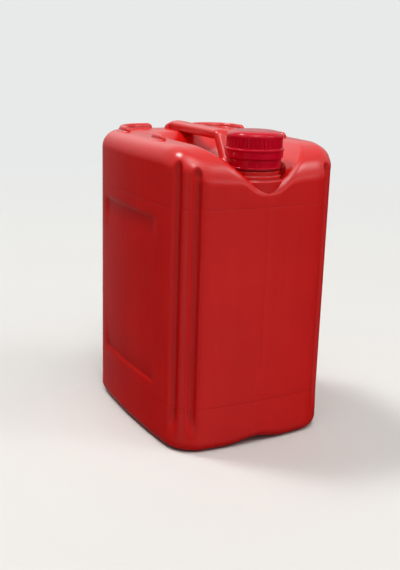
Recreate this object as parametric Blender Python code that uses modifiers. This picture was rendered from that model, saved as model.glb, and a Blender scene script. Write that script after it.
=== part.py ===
"""Plastic jerrycan of 20 litres, for Blender 4.5.

A blow-moulded can with fluted corners, a sunk top, a moulded handle, a neck and a stacking rim,
closed by a ribbed screw cap with a sealing disc over a tamper ring. Metres, +Z up, the front
towards -Y, the origin under the middle of the base.
"""

import math

import bmesh
import bpy
import numpy as np

# Can: overall shape
CAN_WIDTH = 0.240
CAN_DEPTH = 0.290
SHOULDER_Z = 0.384
CORNER_R = 0.046
SIDE_BOW = math.radians(5.4)
FACE_BOW = math.radians(6.3)
BASE_EDGE_R = 0.014
TOP_EDGE_R = 0.024
FRONT_EDGE_R = 0.014
WALL = 0.0022
CLEARANCE = 0.0003

# Shoulders drop towards the front in an arc
NOSE_R = 0.070
NOSE_LENGTH = 0.059

# Channel under the base
CHANNEL_WIDTH = 0.090
CHANNEL_HEIGHT = 0.0065

# Two flutes in each upright corner, either side of the corner's middle
FLUTE_MIDDLE = math.radians(47)
FLUTE_ANGLE = math.radians(15.7)
FLUTE_HALF_ANGLE = math.radians(11.6)
FLUTE_DEPTH = 0.0034
RIDGE_DROP = 0.0008
FLUTE_TOP_BY_SIDE = SHOULDER_Z - 0.0150
FLUTE_TOP_BY_FACE = SHOULDER_Z - 0.0220
FLUTE_ARCH = 0.0110
FLUTE_FOOT = 0.018
FLUTE_FOOT_RUN = 0.040

# Shallow label panel in each side
PANEL_LOW = 0.075
PANEL_HIGH = SHOULDER_Z - 0.0850
PANEL_HALF = CAN_DEPTH / 2.0 - 0.0650
PANEL_EDGE = 0.005
PANEL_DEPTH = 0.0014

# Valley between the shoulders, for the hand and the neck
VALLEY_HAND_Z = SHOULDER_Z - 0.0270
VALLEY_FRONT_Z = SHOULDER_Z - 0.0460
VALLEY_FLOOR_HALF = 0.015
VALLEY_TOP_HALF = CAN_WIDTH / 2.0 - 0.0410
VALLEY_SOFTEN = 0.14
VALLEY_CREASE = 0.0040
VALLEY_REAR_TOP_Y = CAN_DEPTH / 2.0 - 0.0570
VALLEY_REAR_FOOT_Y = CAN_DEPTH / 2.0 - 0.1120
VALLEY_HAND_FRONT_Y = 0.1150 - CAN_DEPTH / 2.0
TOP_RINGS = 12

# Neck, on a round seat sunk between the shoulders
NECK_Y = 0.0390 - CAN_DEPTH / 2.0
SEAT_R = 0.0380
SEAT_Z = SHOULDER_Z - 0.0415
SEAT_RIM_R = SEAT_R + 0.0025
SEAT_RIM_Z = SEAT_Z + 0.0175
SEAT_STEPS = 54
BOSS_R = SEAT_R + 0.0010
BOSS_FOOT_R = BOSS_R - 0.0028
BOSS_FOOT_Z = SEAT_Z - 0.0365
BOSS_Z = SEAT_Z + 0.0015
BOSS_EDGE = 0.0015
NECK_BASE_R = 0.0345
NECK_RING_Z = BOSS_Z + 0.0040
NECK_WAIST_R = 0.0325
NECK_BASE_Z = NECK_RING_Z + 0.0065
NECK_R = 0.0293
NECK_BORE_R = 0.0268
MOUTH_Z = NECK_BASE_Z + 0.0425
BEAD_R = 0.0314
BEAD_Z = NECK_BASE_Z + 0.0089
BEAD_HEIGHT = 0.0026
NECK_STEPS = 40

# Handle
HANDLE_HALF_WIDTH = 0.0120
HANDLE_HALF_THICK = 0.0070
HANDLE_WALL = 0.0022
HANDLE_Z = SHOULDER_Z + 0.0042
HANDLE_REAR_Y = CAN_DEPTH / 2.0 - 0.0390
HANDLE_REAR_FOOT_Y = CAN_DEPTH / 2.0 - 0.0110
HANDLE_REAR_FOOT_Z = SHOULDER_Z - 0.0206
HANDLE_FRONT_Y = NECK_Y + 0.0795
HANDLE_LEG_FOOT_Y = NECK_Y + 0.0510
HANDLE_LEG_FOOT_Z = SHOULDER_Z - 0.0420
HANDLE_BEND_R = 0.010
HANDLE_SIDES = 12

# Stacking rim: a hook round each back corner and a lug on each side
RIM_HALF_WIDTH = 0.0048
RIM_RISE = 0.0065
RIM_X = CAN_WIDTH / 2.0 - 0.0300
RIM_BACK_Y = CAN_DEPTH / 2.0 - 0.0210
RIM_CORNER_R = 0.038
RIM_BACK_END_X = 0.034
RIM_HOOK_END_Y = CAN_DEPTH / 2.0 - 0.0710
LUG_REAR_Y = -0.008
LUG_FRONT_Y = -0.035
RIM_SIDES = 8

# Sealing disc
SEAL_THICKNESS = 0.0018
SEAL_SIDE_GAP = 0.0009

# Cap, whose plate lies on the sealing disc over the neck's mouth
CAP_PLATE = 0.0022
CAP_TOP_Z = MOUTH_Z + CLEARANCE + SEAL_THICKNESS + CLEARANCE + CAP_PLATE
CAP_R = 0.0346
CAP_CROWN_R = 0.0237
CAP_SHOULDER_Z = CAP_TOP_Z - 0.0061
RIB_COUNT = 42
RIB_DEPTH = 0.0010
RIB_HIGH_Z = CAP_TOP_Z - 0.0046
COLLAR_R = CAP_R + 0.0022
COLLAR_HIGH_Z = CAP_TOP_Z - 0.0206
COLLAR_LIP = 0.0030
COLLAR_WAIST_R = COLLAR_R - 0.0010
COLLAR_LOW_Z = CAP_TOP_Z - 0.0316
CAP_LOW_Z = CAP_TOP_Z - 0.0330
CAP_BORE_R = 0.0314

# Tamper ring
RING_BORE_R = BEAD_R + 0.0009
RING_R = RING_BORE_R + 0.00145
RING_LIP_R = BEAD_R - 0.0010
RING_LIP_HEIGHT = 0.0032
RING_LOW_Z = BEAD_Z - 0.0064
RING_STEPS = 48
PANE_SETS = 4
PANE_START = math.radians(-132)
PANE_NARROW = math.radians(14)
PANE_POST = math.radians(2.5)
PANE_WIDE = math.radians(58)
PANE_LOW_Z = RING_LOW_Z + 0.0013
PANE_HIGH_Z = RING_LOW_Z + 0.0070
PANE_DEPTH = 0.0005

COLLECTION = "jerrycan"
MERGE = 0.00002


# Small formulas
def smooth_step(t):
    """Rises from 0 to 1 with level ends."""
    t = np.clip(t, 0.0, 1.0)
    return t * t * (3.0 - 2.0 * t)


def soft_start(t, soften):
    """0 below 0 and t above it, the bend rounded over the share `soften` to both sides."""
    return np.where(t < soften, np.maximum(t + soften, 0.0) ** 2 / (4.0 * soften), t)


def soft_least(a, b, width):
    """The smaller of two heights, the crease rounded where they differ by less than `width`."""
    share = np.clip(0.5 + 0.5 * (b - a) / width, 0.0, 1.0)
    return b + (a - b) * share - width * share * (1.0 - share)


# Scene
def clear_scene():
    for obj in list(bpy.data.objects):
        bpy.data.objects.remove(obj, do_unlink=True)


def new_collection(name):
    collection = bpy.data.collections.new(name)
    bpy.context.scene.collection.children.link(collection)
    return collection


def plastic(name, colour, roughness):
    material = bpy.data.materials.new(name)
    material.use_nodes = True
    shader = material.node_tree.nodes["Principled BSDF"]
    shader.inputs["Base Color"].default_value = (*colour, 1.0)
    shader.inputs["Roughness"].default_value = roughness
    shader.inputs["Metallic"].default_value = 0.0
    material.diffuse_color = (*colour, 1.0)
    return material


def object_of(mesh, name, collection):
    obj = bpy.data.objects.new(name, mesh)
    collection.objects.link(obj)
    return obj


def evaluated_mesh(obj, name):
    """Mesh of an object with its modifiers applied and points closer than MERGE welded."""
    graph = bpy.context.evaluated_depsgraph_get()
    mesh = bpy.data.meshes.new_from_object(obj.evaluated_get(graph))
    mesh.name = name
    work = bmesh.new()
    work.from_mesh(mesh)
    bmesh.ops.remove_doubles(work, verts=work.verts, dist=MERGE)
    bmesh.ops.dissolve_degenerate(work, edges=work.edges, dist=MERGE)
    bmesh.ops.recalc_face_normals(work, faces=work.faces)
    work.to_mesh(mesh)
    work.free()
    return mesh


def combine(obj, operation, other):
    """Applies one Boolean to an object and removes the other object."""
    modifier = obj.modifiers.new(operation, "BOOLEAN")
    modifier.operation = operation
    modifier.object = other
    modifier.solver = "EXACT"
    bpy.context.view_layer.update()
    mesh = evaluated_mesh(obj, obj.name)
    obj.modifiers.clear()
    obj.data = mesh
    bpy.data.objects.remove(other, do_unlink=True)


# Section of the can
def outline_arcs():
    """Half lengths of the front's and the side's arcs, then their radii."""
    tilt_x = math.tan(SIDE_BOW / 2.0)
    tilt_y = math.tan(FACE_BOW / 2.0)
    reach_x = CAN_WIDTH / 2.0 - CORNER_R * (math.cos(SIDE_BOW) - math.sin(FACE_BOW))
    reach_y = CAN_DEPTH / 2.0 - CORNER_R * (math.cos(FACE_BOW) - math.sin(SIDE_BOW))
    face_half = (reach_x - tilt_x * reach_y) / (1.0 - tilt_x * tilt_y)
    side_half = reach_y - tilt_y * face_half
    return face_half, side_half, face_half / math.sin(FACE_BOW), side_half / math.sin(SIDE_BOW)


def outline(facing):
    """Points of the can's outline whose outward side faces `facing`, 0 being the front.

    Front, corner and side are arcs that meet without a kink. Half a turn reaches the back.
    """
    face_half, side_half, face_r, side_r = outline_arcs()
    turn = np.minimum(facing, math.pi - facing)
    sine, cosine = np.sin(turn), np.cos(turn)
    on_face = turn < FACE_BOW
    on_side = turn > math.pi / 2.0 - SIDE_BOW
    corner_x = face_half + CORNER_R * (sine - math.sin(FACE_BOW))
    corner_y = side_half + CORNER_R * (cosine - math.sin(SIDE_BOW))
    x = np.select([on_face, on_side], [face_r * sine, CAN_WIDTH / 2.0 - side_r * (1.0 - sine)], corner_x)
    y = np.select([on_face, on_side], [CAN_DEPTH / 2.0 - face_r * (1.0 - cosine), side_r * cosine], corner_y)
    front = np.where(facing > math.pi / 2.0, 1.0, -1.0)
    return np.column_stack([x, front * y])


def facings(fine):
    """Directions at which half the outline is sampled, from the front to the back."""
    face = np.linspace(0.0, FACE_BOW, 7 if fine else 5)
    edge, inner = FLUTE_ANGLE + FLUTE_HALF_ANGLE, FLUTE_ANGLE - FLUTE_HALF_ANGLE
    flute = np.linspace(edge, inner, 5 if fine else 3)
    corner = FLUTE_MIDDLE + np.concatenate([-flute, [0.0], flute[::-1]])
    panel = [PANEL_HALF, PANEL_HALF - PANEL_EDGE, PANEL_HALF / 2.0] if fine else [PANEL_HALF / 2.0]
    side_r = outline_arcs()[3]
    side = [math.pi / 2.0 - SIDE_BOW, *(math.pi / 2.0 - np.arcsin(np.array(panel) / side_r))]
    quarter = np.concatenate([face, corner, side])
    return np.concatenate([quarter, [math.pi / 2.0], math.pi - quarter[::-1]])


def flute_inset(facing, z):
    """How far the corner flutes and the ridge between them lie inside the plain corner."""
    angle = FLUTE_MIDDLE - np.minimum(facing, math.pi - facing)
    top = np.where(angle > 0.0, FLUTE_TOP_BY_FACE, FLUTE_TOP_BY_SIDE)
    foot = smooth_step((z - FLUTE_FOOT) / FLUTE_FOOT_RUN)
    arch = np.sqrt(1.0 - (1.0 - np.clip((top - z) / FLUTE_ARCH, 0.0, 1.0)) ** 2)
    across = np.abs(np.abs(angle) - FLUTE_ANGLE) / FLUTE_HALF_ANGLE
    groove = 1.0 - np.clip(across / np.maximum(arch, 0.05), 0.0, 1.0) ** 2
    ridge = np.cos(math.pi / 2.0 * np.clip(angle / (FLUTE_ANGLE + FLUTE_HALF_ANGLE), -1.0, 1.0))
    return foot * arch * (FLUTE_DEPTH * groove + RIDGE_DROP * ridge)


def panel_inset(points, z):
    """How far the label panel lies inside the plain side."""
    on_side = points[:, 0] > CAN_WIDTH / 2.0 - CORNER_R / 2.0
    across = smooth_step((PANEL_HALF - np.abs(points[:, 1])) / PANEL_EDGE)
    upright = smooth_step((z - PANEL_LOW) / PANEL_EDGE) * smooth_step((PANEL_HIGH - z) / PANEL_EDGE)
    return np.where(on_side, PANEL_DEPTH * across * upright, 0.0)


def channel_rise(x):
    """Height of the channel under the base at x."""
    return CHANNEL_HEIGHT * np.cos(math.pi * np.clip(x / CHANNEL_WIDTH, -0.5, 0.5)) ** 2


def shoulders_height(x, y):
    """Height of the shoulders and the valley between them at (x, y)."""
    beyond = np.clip(-y - (CAN_DEPTH / 2.0 - NOSE_LENGTH), 0.0, NOSE_LENGTH)
    shoulder = SHOULDER_Z - (NOSE_R - np.sqrt(NOSE_R**2 - beyond**2))
    forward = (VALLEY_HAND_FRONT_Y - y) / (VALLEY_HAND_FRONT_Y + CAN_DEPTH / 2.0)
    floor = VALLEY_HAND_Z + (VALLEY_FRONT_Z - VALLEY_HAND_Z) * np.clip(forward, 0.0, 1.0)
    rear = smooth_step((y - VALLEY_REAR_FOOT_Y) / (VALLEY_REAR_TOP_Y - VALLEY_REAR_FOOT_Y))
    crest = SHOULDER_Z + VALLEY_CREASE
    floor = floor + (crest - floor) * rear
    climb = (np.abs(x) - VALLEY_FLOOR_HALF) / (VALLEY_TOP_HALF - VALLEY_FLOOR_HALF)
    return soft_least(shoulder, floor + (crest - floor) * soft_start(climb, VALLEY_SOFTEN), VALLEY_CREASE)


def top_height(x, y, under):
    """Height at (x, y) of the can's top, or of the surface that lies `under` square below it."""
    step = 0.001
    slope_x = (shoulders_height(x + step, y) - shoulders_height(x - step, y)) / (2.0 * step)
    slope_y = (shoulders_height(x, y + step) - shoulders_height(x, y - step)) / (2.0 * step)
    return shoulders_height(x, y) - under * np.sqrt(1.0 + slope_x**2 + slope_y**2)


def can_rings(fine, under):
    """Rings of points from the base's edge up the walls and over the top towards the neck's axis.

    `under` moves every ring that far inside the can's skin.
    """
    facing = facings(fine)
    points = outline(facing)
    outward = np.column_stack([np.sin(facing), -np.cos(facing)])
    rise = channel_rise(points[:, 0])
    radius = FRONT_EDGE_R + (TOP_EDGE_R - FRONT_EDGE_R) * smooth_step(1.0 + outward[:, 1])

    def ring(inset, z):
        inset = inset + flute_inset(facing, z) + panel_inset(points, z)
        place = points - outward * inset[:, None]
        place[0, 0] = place[-1, 0] = 0.0
        return np.column_stack([place, z])

    rings = []
    wall = np.full(len(points), under)
    fade = 4.0 * BASE_EDGE_R
    for turn in np.linspace(0.0, math.pi / 2.0, 5 if fine else 3):
        z = BASE_EDGE_R - (BASE_EDGE_R - under) * math.cos(turn)
        inset = BASE_EDGE_R - (BASE_EDGE_R - wall) * math.sin(turn)
        rings.append(ring(inset, z + rise * (1.0 - z / fade)))
    low, high = PANEL_LOW + PANEL_EDGE, PANEL_HIGH - PANEL_EDGE
    levels = [0.032, fade, PANEL_LOW, low, (low + high) / 2.0, high, PANEL_HIGH]
    for z in levels if fine else [fade, low, high, PANEL_HIGH]:
        rings.append(ring(wall, z + rise * max(0.0, 1.0 - z / fade)))
    edge_foot = top_height(points[:, 0], points[:, 1], 0.0) - radius
    rings.append(ring(wall, PANEL_HIGH + (edge_foot - PANEL_HIGH) * 0.6))

    for turn in np.linspace(0.0, math.pi / 2.0, 6 if fine else 4):
        inset = radius - (radius - under) * math.cos(turn)
        inner = points - outward * inset[:, None]
        height = top_height(inner[:, 0], inner[:, 1], under)
        rings.append(ring(inset, height - (radius - under) * (1.0 - math.sin(turn))))

    # Towards the neck the rings turn into circles with evenly spread points
    edge = rings[-1][:, :2] - (0.0, NECK_Y)
    edge_turn = np.arctan2(edge[:, 1], edge[:, 0])
    even_turn = np.linspace(-math.pi / 2.0, math.pi / 2.0, len(edge))
    for share in np.linspace(1.0, 0.0, TOP_RINGS + 1)[1:]:
        turn = even_turn + (edge_turn - even_turn) * share
        place = np.column_stack([np.interp(turn, edge_turn, edge[:, axis]) for axis in (0, 1)])
        reach = np.linalg.norm(place, axis=1)
        inner = np.minimum(BOSS_FOOT_R, 0.6 * reach)
        out = inner + (reach - inner) * share
        x, y = (place * (out / reach)[:, None]).T + [[0.0], [NECK_Y]]
        x[0] = x[-1] = 0.0
        rings.append(np.column_stack([x, y, top_height(x, y, under)]))
    return rings


def half_can_mesh(name, fine, under):
    """Half of the can's skin, open at x = 0, or of the surface that lies `under` inside it."""
    work = bmesh.new()
    grid = [[work.verts.new(point) for point in ring] for ring in can_rings(fine, under)]
    for low, high in zip(grid, grid[1:]):
        for i in range(len(low) - 1):
            work.faces.new((low[i], low[i + 1], high[i + 1], high[i]))
    pole = work.verts.new((0.0, NECK_Y, float(top_height(0.0, NECK_Y, under))))
    last = grid[-1]
    for i in range(len(last) - 1):
        work.faces.new((last[i], last[i + 1], pole))
    # The base's strips run straight from front to back, so the channel keeps one section
    base = grid[0]
    for i in range(len(base) // 2):
        back = len(base) - 1 - i
        corners = [base[i], base[back], base[back - 1], base[i + 1]]
        work.faces.new(corners if corners[2] is not corners[3] else corners[:3])
    mesh = bpy.data.meshes.new(name)
    work.to_mesh(mesh)
    work.free()
    return mesh


def add_mirror(obj):
    modifier = obj.modifiers.new("mirror", "MIRROR")
    modifier.use_axis = (True, False, False)
    modifier.use_clip = True
    modifier.merge_threshold = MERGE


# Turned and swept shapes
def turned(name, profile, steps, collection, closed):
    """Solid turned about the neck's axis from (radius, height) points, outer side downwards."""
    mesh = bpy.data.meshes.new(name)
    edges = [(i, i + 1) for i in range(len(profile) - 1)]
    if closed:
        edges.append((len(profile) - 1, 0))
    mesh.from_pydata([(r, 0.0, z) for r, z in profile], edges, [])
    obj = object_of(mesh, name, collection)
    obj.location.y = NECK_Y
    screw = obj.modifiers.new("turn", "SCREW")
    screw.axis = "Z"
    screw.steps = screw.render_steps = steps
    screw.use_merge_vertices = True
    screw.merge_threshold = MERGE
    screw.use_smooth_shade = True
    return obj


def rounded_route(corners, radius, steps):
    """Points along straight runs whose corners are arcs of one radius."""
    corners = [np.array(c, float) for c in corners]
    route = [corners[0]]
    for before, corner, after in zip(corners, corners[1:], corners[2:]):
        to_before = (before - corner) / np.linalg.norm(before - corner)
        to_after = (after - corner) / np.linalg.norm(after - corner)
        half = math.acos(float(np.clip(to_before @ to_after, -1.0, 1.0))) / 2.0
        tangent = radius / math.tan(half)
        middle = (to_before + to_after) / np.linalg.norm(to_before + to_after)
        centre = corner + middle * radius / math.sin(half)
        start = corner + to_before * tangent - centre
        end = corner + to_after * tangent - centre
        sweep = math.pi - 2.0 * half
        for share in np.linspace(0.0, 1.0, steps + 1):
            a = math.sin((1.0 - share) * sweep) / math.sin(sweep)
            b = math.sin(share * sweep) / math.sin(sweep)
            route.append(centre + a * start + b * end)
    route.append(corners[-1])
    return route


def swept(name, routes, radius, sides, stretch, collection):
    """Tubes along routes, made one mesh; `stretch` scales them in x and z about the origin."""
    curve = bpy.data.curves.new(name, "CURVE")
    curve.dimensions = "3D"
    curve.bevel_depth = radius
    curve.bevel_resolution = sides // 2 - 2
    curve.use_fill_caps = True
    for route in routes:
        spline = curve.splines.new("POLY")
        spline.points.add(len(route) - 1)
        for point, place in zip(spline.points, route):
            point.co = (*place, 1.0)
    guide = object_of(curve, f"{name} guide", collection)
    bpy.context.view_layer.update()
    mesh = evaluated_mesh(guide, name)
    bpy.data.objects.remove(guide, do_unlink=True)
    for vert in mesh.vertices:
        vert.co.x *= stretch[0]
        vert.co.z *= stretch[1]
    return object_of(mesh, name, collection)


def handle_route():
    """Middle line of the handle, from inside the back of the top to inside the valley's floor."""
    stops = [
        (HANDLE_REAR_FOOT_Y, HANDLE_REAR_FOOT_Z),
        (HANDLE_REAR_Y, HANDLE_Z),
        (HANDLE_FRONT_Y, HANDLE_Z),
        (HANDLE_LEG_FOOT_Y, HANDLE_LEG_FOOT_Z),
    ]
    return rounded_route([(0.0, y, z) for y, z in stops], HANDLE_BEND_R, 4)


def rim_routes():
    """Middle lines of the stacking rim's hooks and lugs, at their own height."""
    routes = []
    for side in (-1.0, 1.0):
        x = side * RIM_X
        hook = [(x, RIM_HOOK_END_Y, 0.0), (x, RIM_BACK_Y, 0.0), (side * RIM_BACK_END_X, RIM_BACK_Y, 0.0)]
        routes.append(rounded_route(hook, RIM_CORNER_R, 6))
        routes.append([(x, LUG_REAR_Y, 0.0), (x, LUG_FRONT_Y, 0.0)])
    return routes


def seat_cutter(name, around, collection):
    """Cone that sinks the round seat of the neck, made larger all round by `around`."""
    profile = [
        (0.0, CAP_TOP_Z),
        (SEAT_RIM_R + around, CAP_TOP_Z),
        (SEAT_RIM_R + around, SEAT_RIM_Z),
        (SEAT_R + around, SEAT_Z - around),
        (0.0, SEAT_Z - around),
    ]
    return turned(name, profile, SEAT_STEPS, collection, False)


# Pieces
def make_can(collection, material):
    can = object_of(half_can_mesh("can_body", True, 0.0), "can_body", collection)
    add_mirror(can)

    neck_profile = [
        (0.0, MOUTH_Z),
        (NECK_R, MOUTH_Z),
        (NECK_R, BEAD_Z + BEAD_HEIGHT / 2.0),
        (BEAD_R, BEAD_Z),
        (NECK_R, BEAD_Z - BEAD_HEIGHT / 2.0),
        (NECK_R, NECK_BASE_Z),
        (NECK_WAIST_R, NECK_BASE_Z),
        (NECK_WAIST_R, NECK_RING_Z + BOSS_EDGE),
        (NECK_BASE_R, NECK_RING_Z),
        (NECK_BASE_R, BOSS_Z),
        (BOSS_R - BOSS_EDGE, BOSS_Z),
        (BOSS_R, BOSS_Z - BOSS_EDGE),
        (BOSS_FOOT_R, BOSS_FOOT_Z),
        (0.0, BOSS_FOOT_Z),
    ]
    combine(can, "DIFFERENCE", seat_cutter("seat", 0.0, collection))
    combine(can, "UNION", turned("neck", neck_profile, NECK_STEPS, collection, False))
    stretch = (HANDLE_HALF_WIDTH / HANDLE_HALF_THICK, 1.0)
    handle = swept("handle", [handle_route()], HANDLE_HALF_THICK, HANDLE_SIDES, stretch, collection)
    combine(can, "UNION", handle)
    stretch = (1.0, RIM_RISE / RIM_HALF_WIDTH)
    rim = swept("stacking_rim", rim_routes(), RIM_HALF_WIDTH, RIM_SIDES, stretch, collection)
    rim.location.z = SHOULDER_Z
    combine(can, "UNION", rim)

    cavity = object_of(half_can_mesh("cavity", False, WALL), "cavity", collection)
    add_mirror(cavity)
    combine(cavity, "DIFFERENCE", seat_cutter("seat_floor", WALL, collection))
    bore_low = SEAT_Z - 4.0 * WALL
    bore_profile = [
        (0.0, MOUTH_Z + WALL),
        (NECK_BORE_R, MOUTH_Z + WALL),
        (NECK_BORE_R, bore_low),
        (0.0, bore_low),
    ]
    combine(cavity, "UNION", turned("neck_bore", bore_profile, NECK_STEPS, collection, False))
    thick = HANDLE_HALF_THICK - HANDLE_WALL
    stretch = ((HANDLE_HALF_WIDTH - HANDLE_WALL) / thick, 1.0)
    hollow = swept("handle_hollow", [handle_route()], thick, HANDLE_SIDES, stretch, collection)
    combine(cavity, "UNION", hollow)
    combine(can, "DIFFERENCE", cavity)
    can.data.materials.append(material)
    return can


def make_cap(collection, material):
    """Screw cap: a turned shell whose skirt is pressed into ribs between its shoulder and collar."""
    under = CAP_TOP_Z - CAP_PLATE
    shoulder = [
        (
            CAP_CROWN_R + (CAP_R - CAP_CROWN_R) * math.sin(turn),
            CAP_SHOULDER_Z + (CAP_TOP_Z - CAP_SHOULDER_Z) * math.cos(turn),
        )
        for turn in np.linspace(0.0, math.pi / 2.0, 6)
    ]
    profile = [
        (0.0, CAP_TOP_Z),
        *shoulder,
        (CAP_R, COLLAR_HIGH_Z + RIB_DEPTH),
        (COLLAR_R, COLLAR_HIGH_Z),
        (COLLAR_R, COLLAR_HIGH_Z - COLLAR_LIP),
        (COLLAR_WAIST_R, COLLAR_HIGH_Z - COLLAR_LIP),
        (COLLAR_WAIST_R, COLLAR_LOW_Z),
        (RING_R, CAP_LOW_Z),
        (CAP_BORE_R, CAP_LOW_Z),
        (CAP_BORE_R, under),
        (0.0, under),
    ]
    cap = turned("screw_cap", profile, 2 * RIB_COUNT, collection, False)
    mesh = evaluated_mesh(cap, "screw_cap")
    cap.modifiers.clear()
    cap.data = mesh
    for vert in mesh.vertices:
        radius = math.hypot(vert.co.x, vert.co.y)
        column = round(math.atan2(vert.co.y, vert.co.x) / (math.pi / RIB_COUNT))
        on_skirt = COLLAR_HIGH_Z < vert.co.z < RIB_HIGH_Z and radius > CAP_R - RIB_DEPTH
        if column % 2 and on_skirt:
            vert.co.x *= 1.0 - RIB_DEPTH / radius
            vert.co.y *= 1.0 - RIB_DEPTH / radius
    mesh.materials.append(material)
    return cap


def ring_panes(collection):
    """Cutters that sink the panes round the ring a little way into its outer side."""
    work = bmesh.new()
    pitch = 2.0 * math.pi / RING_STEPS
    for i in range(PANE_SETS):
        start = PANE_START + i * 2.0 * math.pi / PANE_SETS
        wide_start = start + PANE_NARROW + PANE_POST
        for first, last in ((start, start + PANE_NARROW), (wide_start, wide_start + PANE_WIDE)):
            angles = np.linspace(first, last, math.ceil((last - first) / pitch) + 1)
            corners = []
            for r in (RING_R - PANE_DEPTH, RING_R + 2.0 * PANE_DEPTH):
                for z in (PANE_LOW_Z, PANE_HIGH_Z):
                    corners.append([work.verts.new((r * math.cos(a), r * math.sin(a), z)) for a in angles])
            inner_low, inner_high, outer_low, outer_high = corners
            loop = [inner_low, outer_low, outer_high, inner_high]
            for one, two in zip(loop, loop[1:] + loop[:1]):
                for j in range(len(angles) - 1):
                    work.faces.new((one[j], one[j + 1], two[j + 1], two[j]))
            for j in (0, -1):
                work.faces.new([line[j] for line in loop])
    bmesh.ops.recalc_face_normals(work, faces=work.faces)
    mesh = bpy.data.meshes.new("ring_panes")
    work.to_mesh(mesh)
    work.free()
    panes = object_of(mesh, "ring_panes", collection)
    panes.location.y = NECK_Y
    return panes


def make_ring(collection, material):
    """Tamper ring: a band with a lip under the neck's bead and sunk panes all round."""
    high = CAP_LOW_Z - CLEARANCE
    profile = [
        (RING_BORE_R, high),
        (RING_R, high),
        (RING_R, RING_LOW_Z),
        (RING_LIP_R, RING_LOW_Z),
        (RING_LIP_R, RING_LOW_Z + RING_LIP_HEIGHT / 2.0),
        (RING_BORE_R, RING_LOW_Z + RING_LIP_HEIGHT),
    ]
    ring = turned("tamper_ring", profile, RING_STEPS, collection, True)
    combine(ring, "DIFFERENCE", ring_panes(collection))
    ring.data.materials.append(material)
    return ring


def make_seal(collection, material):
    """Sealing disc between the cap's plate and the neck's mouth."""
    high = CAP_TOP_Z - CAP_PLATE - CLEARANCE
    low = high - SEAL_THICKNESS
    radius = CAP_BORE_R - SEAL_SIDE_GAP
    profile = [(0.0, high), (radius, high), (radius, low), (0.0, low)]
    seal = turned("sealing_disc", profile, NECK_STEPS, collection, False)
    seal.data.materials.append(material)
    return seal


def main():
    clear_scene()
    parts = new_collection(COLLECTION)
    can_red = plastic("can_red", (0.66, 0.025, 0.018), 0.38)
    cap_red = plastic("cap_red", (0.52, 0.004, 0.030), 0.22)
    foam_white = plastic("foam_white", (0.80, 0.79, 0.76), 0.75)
    make_can(parts, can_red)
    make_cap(parts, cap_red)
    make_ring(parts, cap_red)
    make_seal(parts, foam_white)
    for obj in parts.objects:
        obj.data.shade_smooth()
        obj.data.set_sharp_from_angle(angle=math.radians(35.0))


main()
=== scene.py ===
"""Red plastic jerrycan with a ribbed screw cap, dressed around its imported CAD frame.

The can's skin, handle, stacking rim, neck, cap and tamper ring are grids worked out with numpy
from the CAD's sizes. All lengths are in metres, with Z up and the front towards -Y.
"""

from __future__ import annotations

import logging
import math
from dataclasses import dataclass, field
from enum import Enum
from typing import Callable

import bpy
import numpy as np
from mathutils import Matrix, Vector

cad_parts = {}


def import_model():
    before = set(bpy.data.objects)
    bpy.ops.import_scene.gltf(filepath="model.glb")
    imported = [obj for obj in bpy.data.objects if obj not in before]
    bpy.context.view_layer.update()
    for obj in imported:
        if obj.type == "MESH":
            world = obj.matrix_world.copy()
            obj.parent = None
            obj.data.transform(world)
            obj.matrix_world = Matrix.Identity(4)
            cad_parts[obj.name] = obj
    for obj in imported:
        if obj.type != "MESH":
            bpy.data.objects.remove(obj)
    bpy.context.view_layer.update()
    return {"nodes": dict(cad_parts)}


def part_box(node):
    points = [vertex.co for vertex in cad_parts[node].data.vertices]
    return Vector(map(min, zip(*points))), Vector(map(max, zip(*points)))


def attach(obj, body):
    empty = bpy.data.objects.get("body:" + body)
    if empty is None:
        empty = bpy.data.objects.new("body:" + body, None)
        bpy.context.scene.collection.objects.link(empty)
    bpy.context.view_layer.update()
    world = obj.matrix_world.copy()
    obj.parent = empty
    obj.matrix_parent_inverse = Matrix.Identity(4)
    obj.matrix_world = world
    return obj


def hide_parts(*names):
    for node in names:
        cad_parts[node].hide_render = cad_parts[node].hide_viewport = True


LOG = logging.getLogger("jerrycan")

Point = tuple[float, float]
Colour = tuple[float, float, float]
Push = Callable[[np.ndarray, np.ndarray, np.ndarray], np.ndarray]
Inputs = dict[str | int, object]
Material = bpy.types.Material
Node = bpy.types.Node
NodeGroup = bpy.types.NodeTree
Piece = bpy.types.Object
Socket = bpy.types.NodeSocket

# The neck's place and thread, which the can, the cap and the ring share
NECK_Y = -0.106
NECK_R = 0.0293
NECK_BORE_R = 0.0268
BOSS_Z = 0.3440
THREAD_PITCH = 0.0050
THREAD_FLANK = 0.0007
THREAD_FLAT = 1.6
THREAD_FADE_LAPS = 1.0 / 6.0

# Difference below which two radii are the same, and crease angle in degrees of a turned piece
SAME_RADIUS = 1e-6
TURNED_CREASE = 35.0

# Pointiness at which rubbed crests and the painted shade in hollows start and are full, and the turn
# in radians and the stretch along each axis of the three sets of hair scratches
CRESTS = (0.56, 0.62)
PAINTED_SHADE_HOLLOWS = (0.4985, 0.484)
HAIRS = ((0.3, (900.0, 14.0, 14.0)), (1.4, (12.0, 800.0, 16.0)), (2.3, (15.0, 15.0, 700.0)))


class Slot(Enum):
    """The record's material slots."""

    CAN = "can_red"
    CAP = "cap_red"


class Body(Enum):
    """The CAD's bodies that carry new pieces."""

    CAN = "can"
    CAP = "cap"


# Small formulas
def smooth_step(t: np.ndarray) -> np.ndarray:
    """Rises from 0 to 1 with level ends: 3t^2 - 2t^3."""
    t = np.clip(t, 0.0, 1.0)
    return t * t * (3.0 - 2.0 * t)


def plateau(t: np.ndarray, low: float, high: float, edge: float) -> np.ndarray:
    """1 between low and high and 0 beyond, with a smooth step of one edge's width inside each end."""
    return smooth_step((t - low) / edge) * smooth_step((high - t) / edge)


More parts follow.
